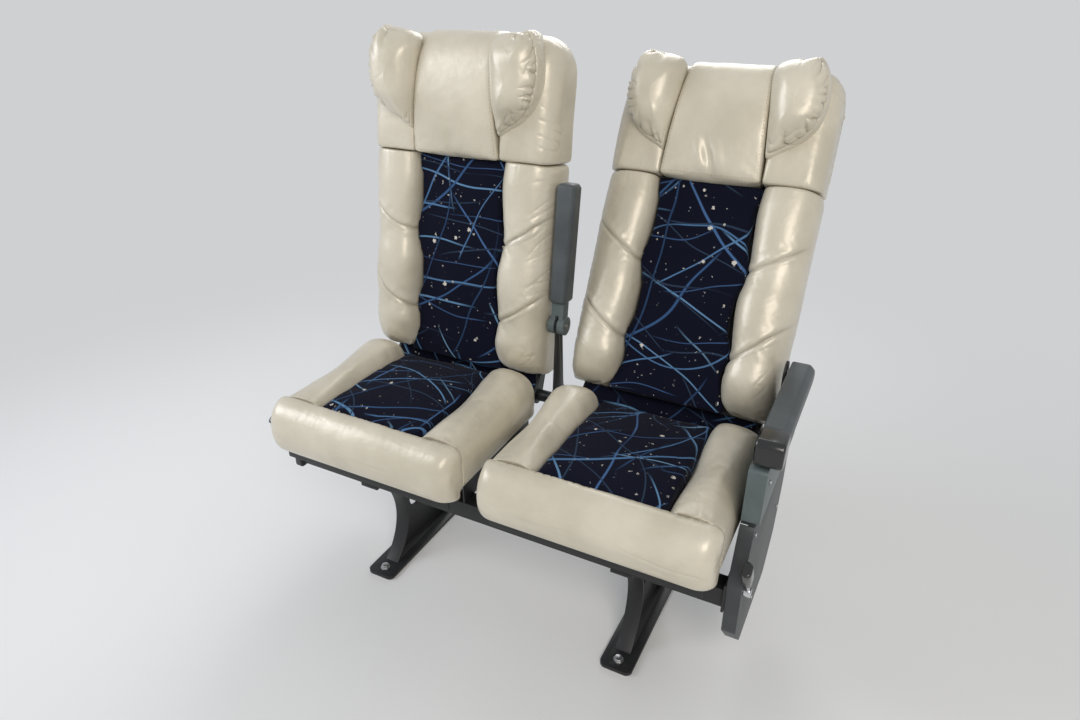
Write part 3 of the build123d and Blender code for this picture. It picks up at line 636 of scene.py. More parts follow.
def bolsterSkin():
    look = bolsterLook
    outer, wrap, low, high = look["outer"], look["wrap"], look["low"], look["high"]

    def control(width, reach):
        inner = outer - width
        return [(inner + 0.002, 0.004), (inner, -0.020), (inner, -0.048),
                (inner + 0.10 * width, -0.92 * reach), (inner + 0.34 * width, -1.04 * reach),
                (inner + 0.64 * width, -1.03 * reach), (inner + 0.88 * width, -0.86 * reach),
                (outer + 0.003, -0.48 * reach), (outer + 0.002, 0.0), (outer + 0.001, 0.034),
                (outer - 0.006, 0.040), (wrap + 0.001, 0.039), (wrap, 0.020), (wrap, 0.004),
                ((wrap + inner) / 2, 0.0035)]

    heights = sharesBetween(low, high, look["up"], [low, low + 0.0015],
                            [high - 0.0035, high - 0.0018, high - 0.0006, high])
    steps = evenSteps(control(0.115, 0.085), look["around"])
    rings = []
    for height in heights:
        share = (height - low) / (high - low)
        width = float(easeThrough(look["widths"], share)) - look["slack"] * 0.6
        reach = float(easeThrough(look["reaches"], share)) - look["slack"]
        ring = softRing(control(width, reach), steps)
        ring = drawnIn(ring, edgeRound(high - height, look["edge"]))
        ring = drawnIn(ring, edgeRound(height - low, look["edge"]))
        tip = edgeRound(height - low, look["footRadius"]) / look["footRadius"]
        turned = tip * 0.46 * smoothStep(0.002, -0.034, ring[:, 1])
        ring[:, 0] += (outer - width * 0.47 - ring[:, 0]) * turned
        ring[:, 1] += (-0.016 - ring[:, 1]) * turned
        shoulder = 0.55 * edgeRound(high - height, look["topRadius"])
        ring[:, 0] -= shoulder * smoothStep(0.185, outer, ring[:, 0])
        rings.append(inRows(ring[:, 0], ring[:, 1], height))
    return skinRings("bolsterBase", rings)


def bolsterSewn(piece):
    look = bolsterLook
    points = readPoints(piece)
    held = smoothStep(-0.012, 0.002, points[:, 1])
    held = np.maximum(held, 1 - smoothStep(0.0, 0.010, look["high"] - points[:, 2]))
    for inner, outer, depth in look["folds"]:
        share, side = besideFold(points, inner, outer, look["foldBow"])
        ends = smoothStep(-0.2, 0.0, share) * (1 - smoothStep(0.75, 1.0, share))
        held = np.maximum(held, 0.45 * bump(side, 0.004) * ends)
    return held


def bolsterDetail(points, normals, seed):
    look = bolsterLook
    move = np.zeros(len(points))
    creaseShade = np.zeros(len(points))
    front = smoothStep(-0.35, 0.20, -normals[:, 1])
    for number, (inner, outer, depth) in enumerate(look["folds"]):
        shift = look["foldShift"] * math.sin(seed * 3.1 + number * 2)  # no two seats' folds lie alike
        share, side = besideFold(points, (inner[0], inner[1] + shift), (outer[0], outer[1] - shift),
                                 look["foldBow"])
        side += look["waver"] * noiseField(points, (26, 26, 26), seed + number)
        ends = smoothStep(-0.25, -0.05, share) * (1 - smoothStep(0.80, 1.06, share))
        near = np.abs(side)
        lap = look["lap"] * np.where(side > 0, 1.0, 0.55)  # the upper side laps over the lower
        fold = lap * bump(near - 0.009, 0.008) - np.exp(-near / look["foldWidth"])
        move += depth * ends * front * fold
        # painted shade: the vinyl is marked darker along each fold and along the shallower crease beside
        # it
        creaseShade += 0.6 * np.exp(-near / 0.0022) * ends * front
        under = np.abs(side + 0.009 + 0.006 * share)  # a shallower crease beside the fold
        beside = 0.5 * smoothStep(0.0, 0.25, share) * (1 - smoothStep(0.55, 0.85, share)) * front
        move -= look["second"] * beside * np.exp(-under / 0.0026)
        creaseShade += 0.3 * beside * np.exp(-under / 0.0018)
        pull = noiseField(tilted(points, look["pullTurn"]), (14, 14, 80), seed + 7 + number)
        move += look["pulls"] * pull * bump(near - 0.018, 0.016) * ends * front
    edge = smoothStep(0.168, 0.222, points[:, 0]) * smoothStep(0.05, -0.02, points[:, 1]) + 0.12
    edge *= inPatches(points, (5, 5, 9), seed + 11, 0.35, 2.2)
    waves = noiseField(tilted(points, look["rippleTurn"]), (13, 13, 52), seed)
    move -= look["ripple"] * edge * ridges(waves, 6.0)
    move += look["uneven"] * noiseField(points, (7, 7, 8), seed + 5)
    top = look["high"] - points[:, 2]
    atTop, atSide = look["pucker"]
    move -= atTop * puckers(points[:, 0] - points[:, 1], top, seed + 1) * smoothStep(0.0, 0.004, top)
    along = puckers(points[:, 2], 0.229 - points[:, 0], seed + 2, 0.017, 0.020)
    move -= atSide * along * smoothStep(0.02, -0.02, points[:, 1])
    # the returned marks are painted shade, along the folds and along the top seam
    return move, creaseShade + 0.5 * np.exp(-top / 0.0015)


base = bolsterSkin()
fillPad(base, bolsterLook["cap"], bolsterSewn(base))
carryPads([(base, "bolster_*_", "back_bolster_*_", bolsterDetail)])

headLook = {
    "low": 0.5355, "seamLow": 0.107, "seamHigh": 0.088, "seamSpan": (0.535, 0.255), "outer": 0.2280,
    "around": 108, "across": 36, "sideAcross": 30, "cap": 0.005, "sideCap": 0.004, "gap": 0.0006,
    "cornerRadius": 0.060, "frontRadius": 0.036, "footRadius": 0.018,
}


def headSeam(height):  # how far from the middle the seam beside the headrest's middle part lies
    start, span = headLook["seamSpan"]
    share = (height - start) / span
    return headLook["seamLow"] + share * (headLook["seamHigh"] - headLook["seamLow"])


def headMiddleSkin():
    look = headLook
    low = look["low"]
    outline = evenRing([
        (0.0052, low - 0.001), (-0.040, low - 0.001), (-0.070, low - 0.001), (-0.0755, low),
        (-0.0765, low + 0.006), (-0.083, low + 0.036), (-0.092, 0.620), (-0.0945, 0.668),
        (-0.091, 0.712), (-0.080, 0.748), (-0.062, 0.775), (-0.036, 0.789), (-0.008, 0.7915),
        (0.020, 0.790), (0.038, 0.781), (0.0405, 0.768), (0.039, 0.7595), (0.020, 0.759),
        (0.0055, 0.7585), (0.0052, 0.700), (0.0052, 0.620)], look["around"])
    outline[:, 1] = np.maximum(outline[:, 1], low)
    rings = []
    for share in sharesBetween(-1, 1, look["across"], [-1, -0.992, -0.975], [0.975, 0.992, 1]):
        ring = drawnIn(outline, edgeRound((1 - abs(share)) * 0.098, 0.009))
        rings.append(inRows(share * headSeam(ring[:, 1]), ring[:, 0], ring[:, 1]))
    return skinRings("headMiddleBase", rings)


def headSideSkin():
    look = headLook
    low, outer = look["low"], look["outer"]

    def control(rear):
        return [(rear, low + 0.010), (rear, low + 0.001), (rear - 0.008, low - 0.0005),
                (-0.030, low - 0.0005), (-0.062, low - 0.0005), (-0.0725, low), (-0.0755, low + 0.010),
                (-0.0745, 0.600), (-0.0725, 0.680), (-0.0695, 0.725), (-0.060, 0.758), (-0.040, 0.778),
                (-0.012, 0.7865), (0.020, 0.786), (0.0375, 0.778), (0.0405, 0.766), (0.039, 0.7595),
                ((rear + 0.039) / 2, 0.759), (rear, 0.7585), (rear, 0.690), (rear, 0.610)]

    steps = evenSteps(control(0.006), look["around"])
    shares = np.linspace(0, 1, look["sideAcross"])[1:-2]
    rings = []
    for share in np.concatenate([[0, 0.010, 0.030], shares, [0.955, 0.975, 0.988, 0.997]]):
        rear = 0.0055 + 0.031 * float(smoothStep(0.80, 0.84, share))
        ring = softRing(control(rear), steps)
        ring[:, 1] = np.maximum(ring[:, 1], low)
        ring = drawnIn(ring, edgeRound(share * 0.128, 0.007))
        seam = headSeam(ring[:, 1])
        x = seam + look["gap"] + share * (outer - look["gap"] - seam)
        corner, front, foot = (
            arcDrop(x, outer, look[part + "Radius"]) for part in ("corner", "front", "foot"))
        up = low + (ring[:, 1] - low) * (1 - 0.232 * corner)
        up = up + 0.006 * foot * smoothStep(low + 0.030, low, ring[:, 1])
        y = ring[:, 0] + (0.030 - ring[:, 0]) * 0.42 * front * smoothStep(0.02, -0.06, ring[:, 0])
        y = y - 0.012 * corner * smoothStep(0.74, 0.79, ring[:, 1]) * smoothStep(0.0, 0.03, ring[:, 0])
        rings.append(inRows(x, y, up))
    return skinRings("headSideBase", rings)


headFormLook = {
    "dent": 0.0066, "ridge": 0.0034, "far": 0.0022, "dentShade": 0.12, "full": 1.0, "faint": 0.15,
    "gathers": 0.0014, "uneven": 0.0016, "seamPucker": 0.0012, "footPucker": 0.0014,
    "sideRipple": 0.0018, "sideTurn": -28, "sideUneven": 0.0018,
}


def headMiddleDetail(points, normals, seed):
    look = headFormLook
    x, y, z = points.T
    front = smoothStep(0.1, 0.6, -normals[:, 1])
    lean = x + 0.30 * (z - 0.575)  # the dent runs slightly aslant
    dent = bump(lean + 0.006, 0.0095) * bump(z - 0.576, 0.031)
    ridge = bump(lean + 0.024, 0.010) * bump(z - 0.580, 0.030)
    far = bump(lean - 0.016, 0.012) * bump(z - 0.570, 0.028)
    aisle = seed == seats["aisle"]["seed"]
    strength = look["full"] if aisle else look["faint"]  # only the aisle seat's dent shows well
    move = strength * front * (look["ridge"] * ridge + look["far"] * far - look["dent"] * dent)
    ends = bump(z - 0.545, 0.04) + 0.6 * bump(z - 0.775, 0.03)
    move += look["gathers"] * noiseField(points, (42, 10, 8), seed) * ends
    move += look["uneven"] * noiseField(points, (7, 7, 7), seed + 3)
    beside = headSeam(z) - np.abs(x)
    fine = puckers(z - y + x * 3, beside, seed + 5, 0.015, 0.014)
    move -= look["seamPucker"] * fine * smoothStep(0.0, 0.004, beside)
    fine = puckers(x, z - headLook["low"], seed + 6, 0.014, 0.016)
    move -= look["footPucker"] * front * fine * smoothStep(0.537, 0.541, z)
    # painted shade: darker in the dent and along the seams beside the middle part
    return move, strength * dent * look["dentShade"] + 0.5 * np.exp(-beside / 0.0016)


def headSideDetail(points, normals, seed):
    look = headFormLook
    x, y, z = points.T
    outer = smoothStep(0.17, 0.215, x)
    outer *= inPatches(points, (6, 6, 10), seed + 12, 0.35, 2.2)
    waves = noiseField(tilted(points, look["sideTurn"]), (12, 12, 50), seed)
    move = -look["sideRipple"] * (0.10 + outer) * ridges(waves, 5.5)
    move += look["sideUneven"] * noiseField(points, (9, 9, 9), seed + 2)
    above = z - headLook["low"]
    fine = puckers(x - y, above, seed + 6, 0.014, 0.014)
    move -= look["footPucker"] * fine * smoothStep(0.0, 0.005, above)
    move *= smoothStep(0.045, 0.036, y)
    # painted shade: darker along the seam to the middle part and along the foot
    return move, 0.5 * np.exp(-np.abs(x - headSeam(z)) / 0.0016) + 0.4 * np.exp(-above / 0.0015)


middle = headMiddleSkin()
x, y, z = readPoints(middle).T
atSeam = smoothStep(-0.010, 0.0, np.abs(x) - headSeam(z))
fillPad(middle, headLook["cap"], np.maximum(smoothStep(-0.02, 0.0, y), atSeam))
beside = headSideSkin()
x, y, z = readPoints(beside).T
atFoot = smoothStep(0.012, 0.0, z - 0.535)
fillPad(beside, headLook["sideCap"], np.maximum(smoothStep(-0.03, -0.01, y), atFoot))
carryPads([(middle, "headrest_middle_", "headrest_", headMiddleDetail),
           (beside, "headrest_side_*_", "headrest_", headSideDetail)])

wingLook = {
    "middle": (0.146, 0.692), "root": -0.070, "reach": 0.063, "around": 160, "rings": 34, "cap": 0.005,
    "dome": (3.3, 0.47), "inward": (-0.9, 0.03),  # the dome's powers, and what they gain towards the head
    "spacing": (3.2, 0.47, 0.065, 0.061),  # powers, width and height of the curve the rings are spaced on
    "lean": 0.006, "tail": 0.030, "seamAt": 0.70, "seamWidth": 0.018,
    "pleats": 11, "pleatSpan": (-1.95, 1.55), "pleatDepth": 0.0066, "lobeHeight": 0.0042,
    "seamDepth": 0.0032, "uneven": 0.0034, "ripple": 0.0014, "pucker": 0.0016,
    "rim": [  # the sewn edge seen from the front: across, up
        (0.107, 0.583), (0.112, 0.584), (0.138, 0.598), (0.169, 0.617), (0.193, 0.644), (0.2045, 0.680),
        (0.2055, 0.718), (0.201, 0.750), (0.191, 0.773), (0.180, 0.790), (0.173, 0.7925), (0.160, 0.787),
        (0.140, 0.786), (0.120, 0.784), (0.102, 0.778), (0.0925, 0.765), (0.0915, 0.740), (0.096, 0.700),
        (0.101, 0.650), (0.105, 0.605)],
}


def wingFullness(up):  # the ear thins towards its lower point
    return (0.52 + 0.48 * smoothStep(0.586, 0.662, up)) * (1 - 0.14 * smoothStep(0.740, 0.79, up))


def wingDome(turn, share):  # height of the dome: rounder on the side that faces the head
    inward = smoothStep(0.5, -0.9, np.cos(turn))
    flat, steep = (power + gain * inward for power, gain in zip(wingLook["dome"], wingLook["inward"]))
    return (1 - share ** flat) ** steep


def wingPlaces(points):  # turn about the ear's middle, and how far round from its nose (0) to its rim (1)
    cx, cz = wingLook["middle"]
    rim = evenRing(wingLook["rim"], 400)
    turn = np.arctan2(rim[:, 1] - cz, rim[:, 0] - cx)
    away = np.hypot(rim[:, 0] - cx, rim[:, 1] - cz)
    order = np.argsort(turn)
    angle = np.arctan2(points[:, 2] - cz, points[:, 0] - cx)
    reach = np.interp(angle, turn[order], away[order], period=2 * math.pi)
    out = np.hypot(points[:, 0] - cx, points[:, 2] - cz) / reach
    depth = (wingLook["root"] - points[:, 1]) / (wingLook["reach"] * wingFullness(points[:, 2]))
    return angle, np.arctan2(out, np.maximum(depth, 0)) / (math.pi / 2)


def wingSkin():
    look = wingLook
    cx, cz = look["middle"]
    rim = evenRing(look["rim"], look["around"])
    fine = np.linspace(0, 1, 800)
    flat, steep, across, high = look["spacing"]
    height = (1 - fine ** flat) ** steep
    run = np.concatenate([[0], np.cumsum(np.hypot(np.diff(fine) * across, np.diff(height) * high))])
    rings = []
    for share in np.interp(np.linspace(0.09, 1, look["rings"]) * run[-1], run, fine):
        x = cx + (rim[:, 0] - cx) * share
        z = cz + (rim[:, 1] - cz) * share
        turn = np.arctan2(z - cz, x - cx)
        body = wingDome(turn, share)
        x = x - look["lean"] * np.clip(-np.cos(turn), 0, 1) * np.sin(math.pi * body) * share
        rings.append(inRows(x, look["root"] - look["reach"] * body * wingFullness(z), z))
    for share, back in ((0.995, 0.002), (0.985, 0.004), (0.8, 0.005)):
        up = cz + (rim[:, 1] - cz) * share
        behind = look["root"] + back + look["tail"] * smoothStep(0.742, 0.790, up) * min(back / 0.004, 1)
        rings.append(inRows(cx + (rim[:, 0] - cx) * share, behind, up))
    return skinRings("wingBase", rings)


def wingDetail(points, normals, seed):
    look = wingLook
    angle, out = wingPlaces(points)
    forward = smoothStep(-0.069, -0.078, points[:, 1])
    # gathered all round, but not along the middle seam
    gathered = smoothStep(-2.20, -1.80, angle) * (1 - smoothStep(1.45, 1.85, angle))
    state = np.random.default_rng(int(seed * 10))
    places = np.linspace(*look["pleatSpan"], look["pleats"] + 1)
    places = places + state.uniform(-0.14, 0.14, len(places))
    pleat = np.zeros(len(points))
    lobe = np.zeros(len(points))
    for number, at in enumerate(places):
        inner = state.uniform(0.22, 0.52)
        depth = state.uniform(0.40, 1.0)
        lean = state.uniform(-0.9, 0.9)
        line = angle - at - lean * (0.62 - out) - 0.05 * np.sin(out * 16 + number)
        run = smoothStep(inner, 0.64, out) * (1 - smoothStep(0.66, 0.74, out))
        width = 0.030 + 0.040 * smoothStep(0.7, 0.3, out)
        pleat = np.maximum(pleat, depth * np.exp(-np.abs(line) / width) * run)
        if number:  # the vinyl swells between two pleats
            half = (places[number] + places[number - 1]) / 2
            wide = (places[number] - places[number - 1]) * 0.42
            lobe += bump(angle - half, wide) * bump(out - 0.57, 0.10) * (0.3 + 0.7 * depth)
    seam = bump(out - look["seamAt"], look["seamWidth"]) * forward
    seam *= 0.08 + 0.92 * gathered
    move = gathered * (-look["pleatDepth"] * pleat + look["lobeHeight"] * lobe) * forward
    move -= look["seamDepth"] * seam
    move += look["uneven"] * noiseField(points, (11, 11, 11), seed + 1) * forward
    soft = ridges(noiseField(points, (28, 28, 14), seed + 4), 5.5)
    move -= look["ripple"] * (0.15 + gathered) * forward * soft * smoothStep(0.25, 0.6, out)
    rim = (1 - out) * 0.09
    fine = puckers(angle * 0.075, rim, seed + 3, 0.014, 0.010)
    move -= look["pucker"] * fine * gathered * forward * smoothStep(0.0, 0.004, rim)
    # painted shade: darker in the pleats and along the seam
    return move, 0.40 * gathered * pleat * forward + 0.45 * seam


base = wingSkin()
fillPad(base, wingLook["cap"], smoothStep(-0.082, -0.074, readPoints(base)[:, 1]))
carryPads([(base, "wing_*_", "headrest_wing_*_", wingDetail)])
print("back pads made")

insertLook = {"voxel": 0.006, "smooth": 4, "cap": 0.006, "backUneven": 0.0022, "seatUneven": 0.0025}


def remeshCopy(node, name, place):
    piece = copyNode(node, name, place)
    finishModifier(piece, "REMESH", mode="VOXEL", voxel_size=insertLook["voxel"])
    finishModifier(piece, "SMOOTH", factor=0.5, iterations=insertLook["smooth"])
    return piece


def aroundEdge(across, depth):  # more cloth is taken up where the panel turns down at its sides
    return np.sign(across) * np.clip(depth, 0, 1) * smoothStep(0.075, 0.095, np.abs(across))


def backInsertDetail(points, normals, seed):
    front = smoothStep(0.1, 0.7, -normals[:, 1])
    move = insertLook["backUneven"] * front * noiseField(points, (12, 6, 7), seed)
    return move, lambda x, y, z: (x + 0.045 * seed + aroundEdge(x, y + 0.047), z)


def seatInsertDetail(points, normals, seed):
    def layout(x, y, z):
        forward = y + 0.04  # measured from the cushion's middle
        down = np.clip(0.464 - z, 0, 1) * np.sign(forward) * smoothStep(0.12, 0.15, np.abs(forward))
        return x + 0.3 + 0.04 * seed + aroundEdge(x, 0.464 - z), y - down

    top = smoothStep(0.1, 0.7, normals[:, 2])
    return insertLook["seatUneven"] * top * noiseField(points, (8, 8, 6), seed), layout


base = remeshCopy("back_insert_window", "backInsertBase", backPlace("window"))
fillPad(base, insertLook["cap"], divide=0)
carryPads([(base, "back_cloth_", "back_insert_", backInsertDetail)], skin="cloth")

apronLook = {
    "half": 0.1945, "around": 40, "across": 90, "cap": 0.0015, "uneven": 0.0012, "pucker": 0.0010}


def apronSkin():  # the foot of the back's cloth, which covers the shell down to its lower edge
    look = apronLook
    outline = evenRing([
        (0.0047, 0.052), (0.0030, 0.0572), (-0.0035, 0.0572), (-0.0062, 0.048), (-0.0066, 0.026),
        (-0.0058, 0.004), (-0.0042, -0.006), (-0.0005, -0.0112), (0.0036, -0.0108), (0.0047, -0.004),
        (0.0047, 0.024)], look["around"])
    rings = []
    for share in np.linspace(-1, 1, look["across"]):
        ring = drawnIn(outline, edgeRound((1 - abs(share)) * look["half"], 0.004))
        rings.append(inRows(share * look["half"], ring[:, 0], ring[:, 1]))
    return skinRings("apronBase", rings)


def apronDetail(points, normals, seed):
    look = apronLook
    front = smoothStep(0.1, 0.7, -normals[:, 1])
    uneven = noiseField(points * np.array((1, 1, 0.25)), (34, 10, 30), seed)
    fine = puckers(points[:, 0], 0.057 - points[:, 2], seed)
    move = front * (look["uneven"] * uneven - look["pucker"] * fine)
    return move, lambda x, y, z: (x + 0.045 * seed, z)


base = apronSkin()
fillPad(base, apronLook["cap"], smoothStep(0.001, 0.004, readPoints(base)[:, 1]), divide=0)
carryPads([(base, "back_apron_", None, apronDetail)], skin="cloth")
base = remeshCopy("cushion_insert_window", "seatInsertBase", seatPlace("window"))
fillPad(base, insertLook["cap"], divide=0)
carryPads([(base, "seat_cloth_", "cushion_insert_", seatInsertDetail)], skin="cloth",
          onBack=False)

cushionLook = {
    "rear": 0.1175, "joint": -0.2000, "inner": 0.1255, "outer": 0.2295, "under": 0.3665, "around": 72,
    "along": 60, "slack": 0.005, "cap": 0.0055, "noseCap": 0.0045, "rearRadius": 0.018,
    "seamRadius": 0.0016,
    "tops": [  # at shares of the length, from the rear
        (0, 0.446), (0.03, 0.474), (0.10, 0.489), (0.22, 0.490), (0.36, 0.483), (0.50, 0.477),
        (0.80, 0.476), (1, 0.4745)],
    "pucker": 0.0018, "ripple": 0.0010, "uneven": 0.0024,
}


def cushionSideSkin():
    look = cushionLook
    inner, outer, under = look["inner"], look["outer"], look["under"]

    def control(top):
        return [(inner, under), (inner, 0.400), (inner, top - 0.045), (inner + 0.002, top - 0.012),
                (inner + 0.022, top + 0.001), (inner + 0.052, top + 0.001), (outer - 0.018, top - 0.003),
                (outer + 0.001, top - 0.026), (outer + 0.002, top - 0.060), (outer + 0.001, 0.385),
                (outer, under), (outer - 0.02, under - 0.001), (inner + 0.03, under - 0.001)]

    steps = evenSteps(control(0.478), look["around"])
    rings = []
    for share in sharesBetween(0, 1, look["along"], [0, 0.004], [0.993, 0.998, 1]):
        y = look["rear"] + (look["joint"] - look["rear"]) * share
        ring = softRing(control(float(easeThrough(look["tops"], share)) - look["slack"]), steps)
        ring[:, 1] = np.maximum(ring[:, 1], under)
        ring = drawnIn(ring, edgeRound(share * 0.317, look["rearRadius"])
                       + edgeRound((1 - share) * 0.317, look["seamRadius"]))
        rings.append(inRows(ring[:, 0], y, ring[:, 1]))
    return skinRings("cushionSideBase", rings)


noseLook = {"half": 0.2295, "around": 84, "across": 78, "cornerRadius": 0.034, "topRadius": 0.020}


def noseSkin():
    look = noseLook
    outline = evenRing([
        (-0.2003, 0.3665), (-0.2003, 0.420), (-0.2003, 0.462), (-0.2010, 0.4680), (-0.214, 0.4680),
        (-0.232, 0.4650), (-0.249, 0.454), (-0.260, 0.433), (-0.2640, 0.406), (-0.2610, 0.380),
        (-0.2525, 0.360), (-0.240, 0.3515), (-0.2292, 0.3520), (-0.2285, 0.3655), (-0.216, 0.3662)],
        look["around"])
    front = smoothStep(-0.205, -0.245, outline[:, 0])
    top = smoothStep(0.40, 0.46, outline[:, 1])
    rings = []
    for share in sharesBetween(-1, 1, look["across"], [-0.999, -0.99], [0.99, 0.999]):
        away = (1 - abs(share)) * look["half"]
        y = outline[:, 0] + 0.9 * edgeRound(away, look["cornerRadius"]) * front
        z = outline[:, 1] - 0.9 * edgeRound(away, look["topRadius"]) * top
        rings.append(inRows(share * look["half"], y, z))
    return skinRings("noseBase", rings)


def cushionDetail(points, normals, seed):
    look = cushionLook
    x, y, z = points.T
    beside = np.abs(y + 0.2002)  # the seam between the side pads and the nose
    side = smoothStep(0.3, 0.8, np.abs(normals[:, 0]))
    move = -look["pucker"] * puckers(x * (1 - side) + z * side, beside - 0.001, seed, 0.015, 0.022)
    low = smoothStep(0.44, 0.40, z)
    low *= inPatches(points, (6, 6, 8), seed + 13, 0.2, 2.0)
    move -= look["ripple"] * (0.20 + low) * ridges(noiseField(points, (10, 34, 30), seed), 4.5)
    move += look["uneven"] * noiseField(points, (7, 7, 7), seed + 2)
    move *= smoothStep(0.366, 0.385, z)
    # painted shade: darker along the seam between the side pads and the nose
    return move, 0.6 * np.exp(-beside / 0.0014)


base = cushionSideSkin()
x, y, z = readPoints(base).T
fillPad(base, cushionLook["cap"], np.maximum(smoothStep(0.385, 0.372, z), smoothStep(-0.192, -0.199, y)))
carryPads([(base, "cushion_side_*_", "cushion_bolsters_", cushionDetail)], onBack=False)
base = noseSkin()
x, y, z = readPoints(base).T
atJoint = smoothStep(-0.207, -0.2015, y)
fillPad(base, cushionLook["noseCap"], np.maximum(smoothStep(0.372, 0.362, z), atJoint))
carryPads([(base, "cushion_front_", "cushion_nose_", cushionDetail)], onBack=False)
print("cushions made")


grooveLook = {
    "border": 0.034, "corner": 0.040, "slope": 0.0022, "floor": 0.0030, "deep": 0.0022, "round": 0.0006}


def selectFaces(piece, wanted):
    pick(piece)
    bpy.ops.object.mode_set(mode="EDIT")
    bpy.ops.mesh.select_mode(type="FACE")
    bpy.ops.mesh.select_all(action="DESELECT")
    bpy.ops.object.mode_set(mode="OBJECT")
    for face in wanted(piece.data.polygons):
        face.select = True
    bpy.ops.object.mode_set(mode="EDIT")


def largestRear(faces):
    return [max((f for f in faces if f.normal.y > 0.5), key=lambda f: f.area)]


def grooveRear(piece):  # a moulded groove with round corners runs round the shell's rear face
    look = grooveLook
    selectFaces(piece, largestRear)
    bpy.ops.mesh.inset(thickness=look["border"])
    bpy.ops.mesh.bevel(offset=look["corner"], segments=8, affect="VERTICES")
    selectFaces(piece, largestRear)
    bpy.ops.mesh.inset(thickness=look["slope"], depth=-look["deep"])
    bpy.ops.mesh.inset(thickness=look["floor"])
    bpy.ops.mesh.inset(thickness=look["slope"], depth=look["deep"])
    bpy.ops.object.mode_set(mode="OBJECT")
    roundEdges(piece, look["round"], 2, 40)


dressLook = {"bevelAngle": 32, "smoothAngle": 38}


def dressCopies(rows):
    # a row: CAD node, the piece that stands for it, body, material, slot, edge radius and its segments
    for which in seats if "*" in rows[0][0] else ["window"]:  # * stands for the seat
        for node, name, body, material, slotName, edge, segments in rows:
            node, name, body = (word.replace("*", which) for word in (node, name, body))
            piece = copyNode(node, name)
            roundEdges(piece, edge, segments, dressLook["bevelAngle"])
            if node.startswith("back_shell"):
                grooveRear(piece)
            smoothUnder(piece, dressLook["smoothAngle"])
            handOver(piece, material, body, node)


dressCopies([
    ("centre_arm_pad", "centre_arm_skin", "centre_arm", slate, "slate_plastic", 0.005, 4),
    ("centre_arm_neck", "centre_arm_stem", "centre_arm", blueGrey, "slate_plastic", 0.002, 3),
    ("aisle_arm_pad", "aisle_arm_skin", "aisle_arm", slate, "slate_plastic", 0.004, 4),
    ("aisle_arm_cap", "aisle_arm_end", "aisle_arm", glossBlack, "black_plastic", 0.005, 4),
    ("arm_panel_aisle", "arm_panel", "base", blueGrey, "blue_grey_plastic", 0.0022, 3),
    ("side_shield_aisle", "aisle_shield", "base", darkShield, "slate_plastic", 0.0022, 3),
    ("side_cover_window", "window_cover", "base", darkShield, "slate_plastic", 0.0018, 3)])
dressCopies([
    ("recline_grip_*", "lever_grip_*", "base", glossBlack, "black_plastic", 0.0013, 3)])
dressCopies([
    ("cross_tube_front", "beam_front", "base", powderCoat, "frame_paint", 0.0014, 3),
    ("cross_tube_rear", "beam_rear", "base", powderCoat, "frame_paint", 0.0014, 3),
    ("centre_plate", "middle_plate", "base", powderCoat, "frame_paint", 0.0008, 2)])
dressCopies([
    ("leg_*", "stand_*", "base", powderCoat, "frame_paint", 0.0010, 2),
    ("side_plate_*", "end_plate_*", "base", powderCoat, "frame_paint", 0.0008, 2),
    ("seat_pan_*", "pan_*", "base", powderCoat, "frame_paint", 0.0010, 2),
    ("back_shell_*", "back_panel_*", "back_*", backGrain, "back_plastic", 0.0030, 3)])

bareNodes = {  # CAD pieces that show as they are; * stands for the seat
    "aisle_arm_pin": zincSteel, "centre_arm_pin": zincSteel, "pivot_pins_*": zincSteel,
    "spring_clevis_*": powderCoat, "hinge_arms_*": powderCoat, "spring_cylinder_*": springPaint,
    "recline_rod_*": chromeSteel, "spring_rod_*": chromeSteel,
}
for name, material in bareNodes.items():
    for which in seats:
        for slotPlace in nodes[name.replace("*", which)].material_slots:
            slotPlace.material = material
print("rigid pieces dressed")

pocketLook = {
    "face": 0.0402, "low": 0.150, "high": 0.400, "half": 0.150, "floor": 0.019, "mouth": 0.0345,
    "across": 96, "up": 64, "flat": (0.334, 0.262), "thick": 0.0009, "hemHigh": 0.0065,
    "hemThick": 0.0014, "hemDrop": 0.005, "dip": 0.004, "sag": 0.0022, "gather": 0.0016,
    "gatherDeep": 0.16, "pull": 0.0022,
}


def pocketDepth(across, share, seed):  # how far the cloth stands off the shell
    look = pocketLook
    full = look["floor"] + (look["mouth"] - look["floor"]) * share
    held = (1 - np.clip(np.abs(across), 0, 1) ** 9) ** 0.5
    bottom = (1 - np.clip(1 - share, 0, 1) ** 12) ** 0.5
    sag = noiseAt(across * 9, share * 3, seed)
    gather = noiseAt(across * 42, share * 1.5, seed + 4)
    corners = np.abs(across) * (1 - share)
    pull = noiseAt(across * 10 + share * 16, across * 3, seed + 2)
    loose = look["sag"] * sag + look["gather"] * gather * np.exp((share - 1) / look["gatherDeep"])
    return full * held * bottom + held * bottom * (loose - look["pull"] * corners * pull)


def placeSheet(piece, which, material, node=None):  # from a back drawn upright to where it leans
    piece.data.transform(backPlace(which))
    piece.data.shade_smooth()
    handOver(piece, material, "back_" + which, node)


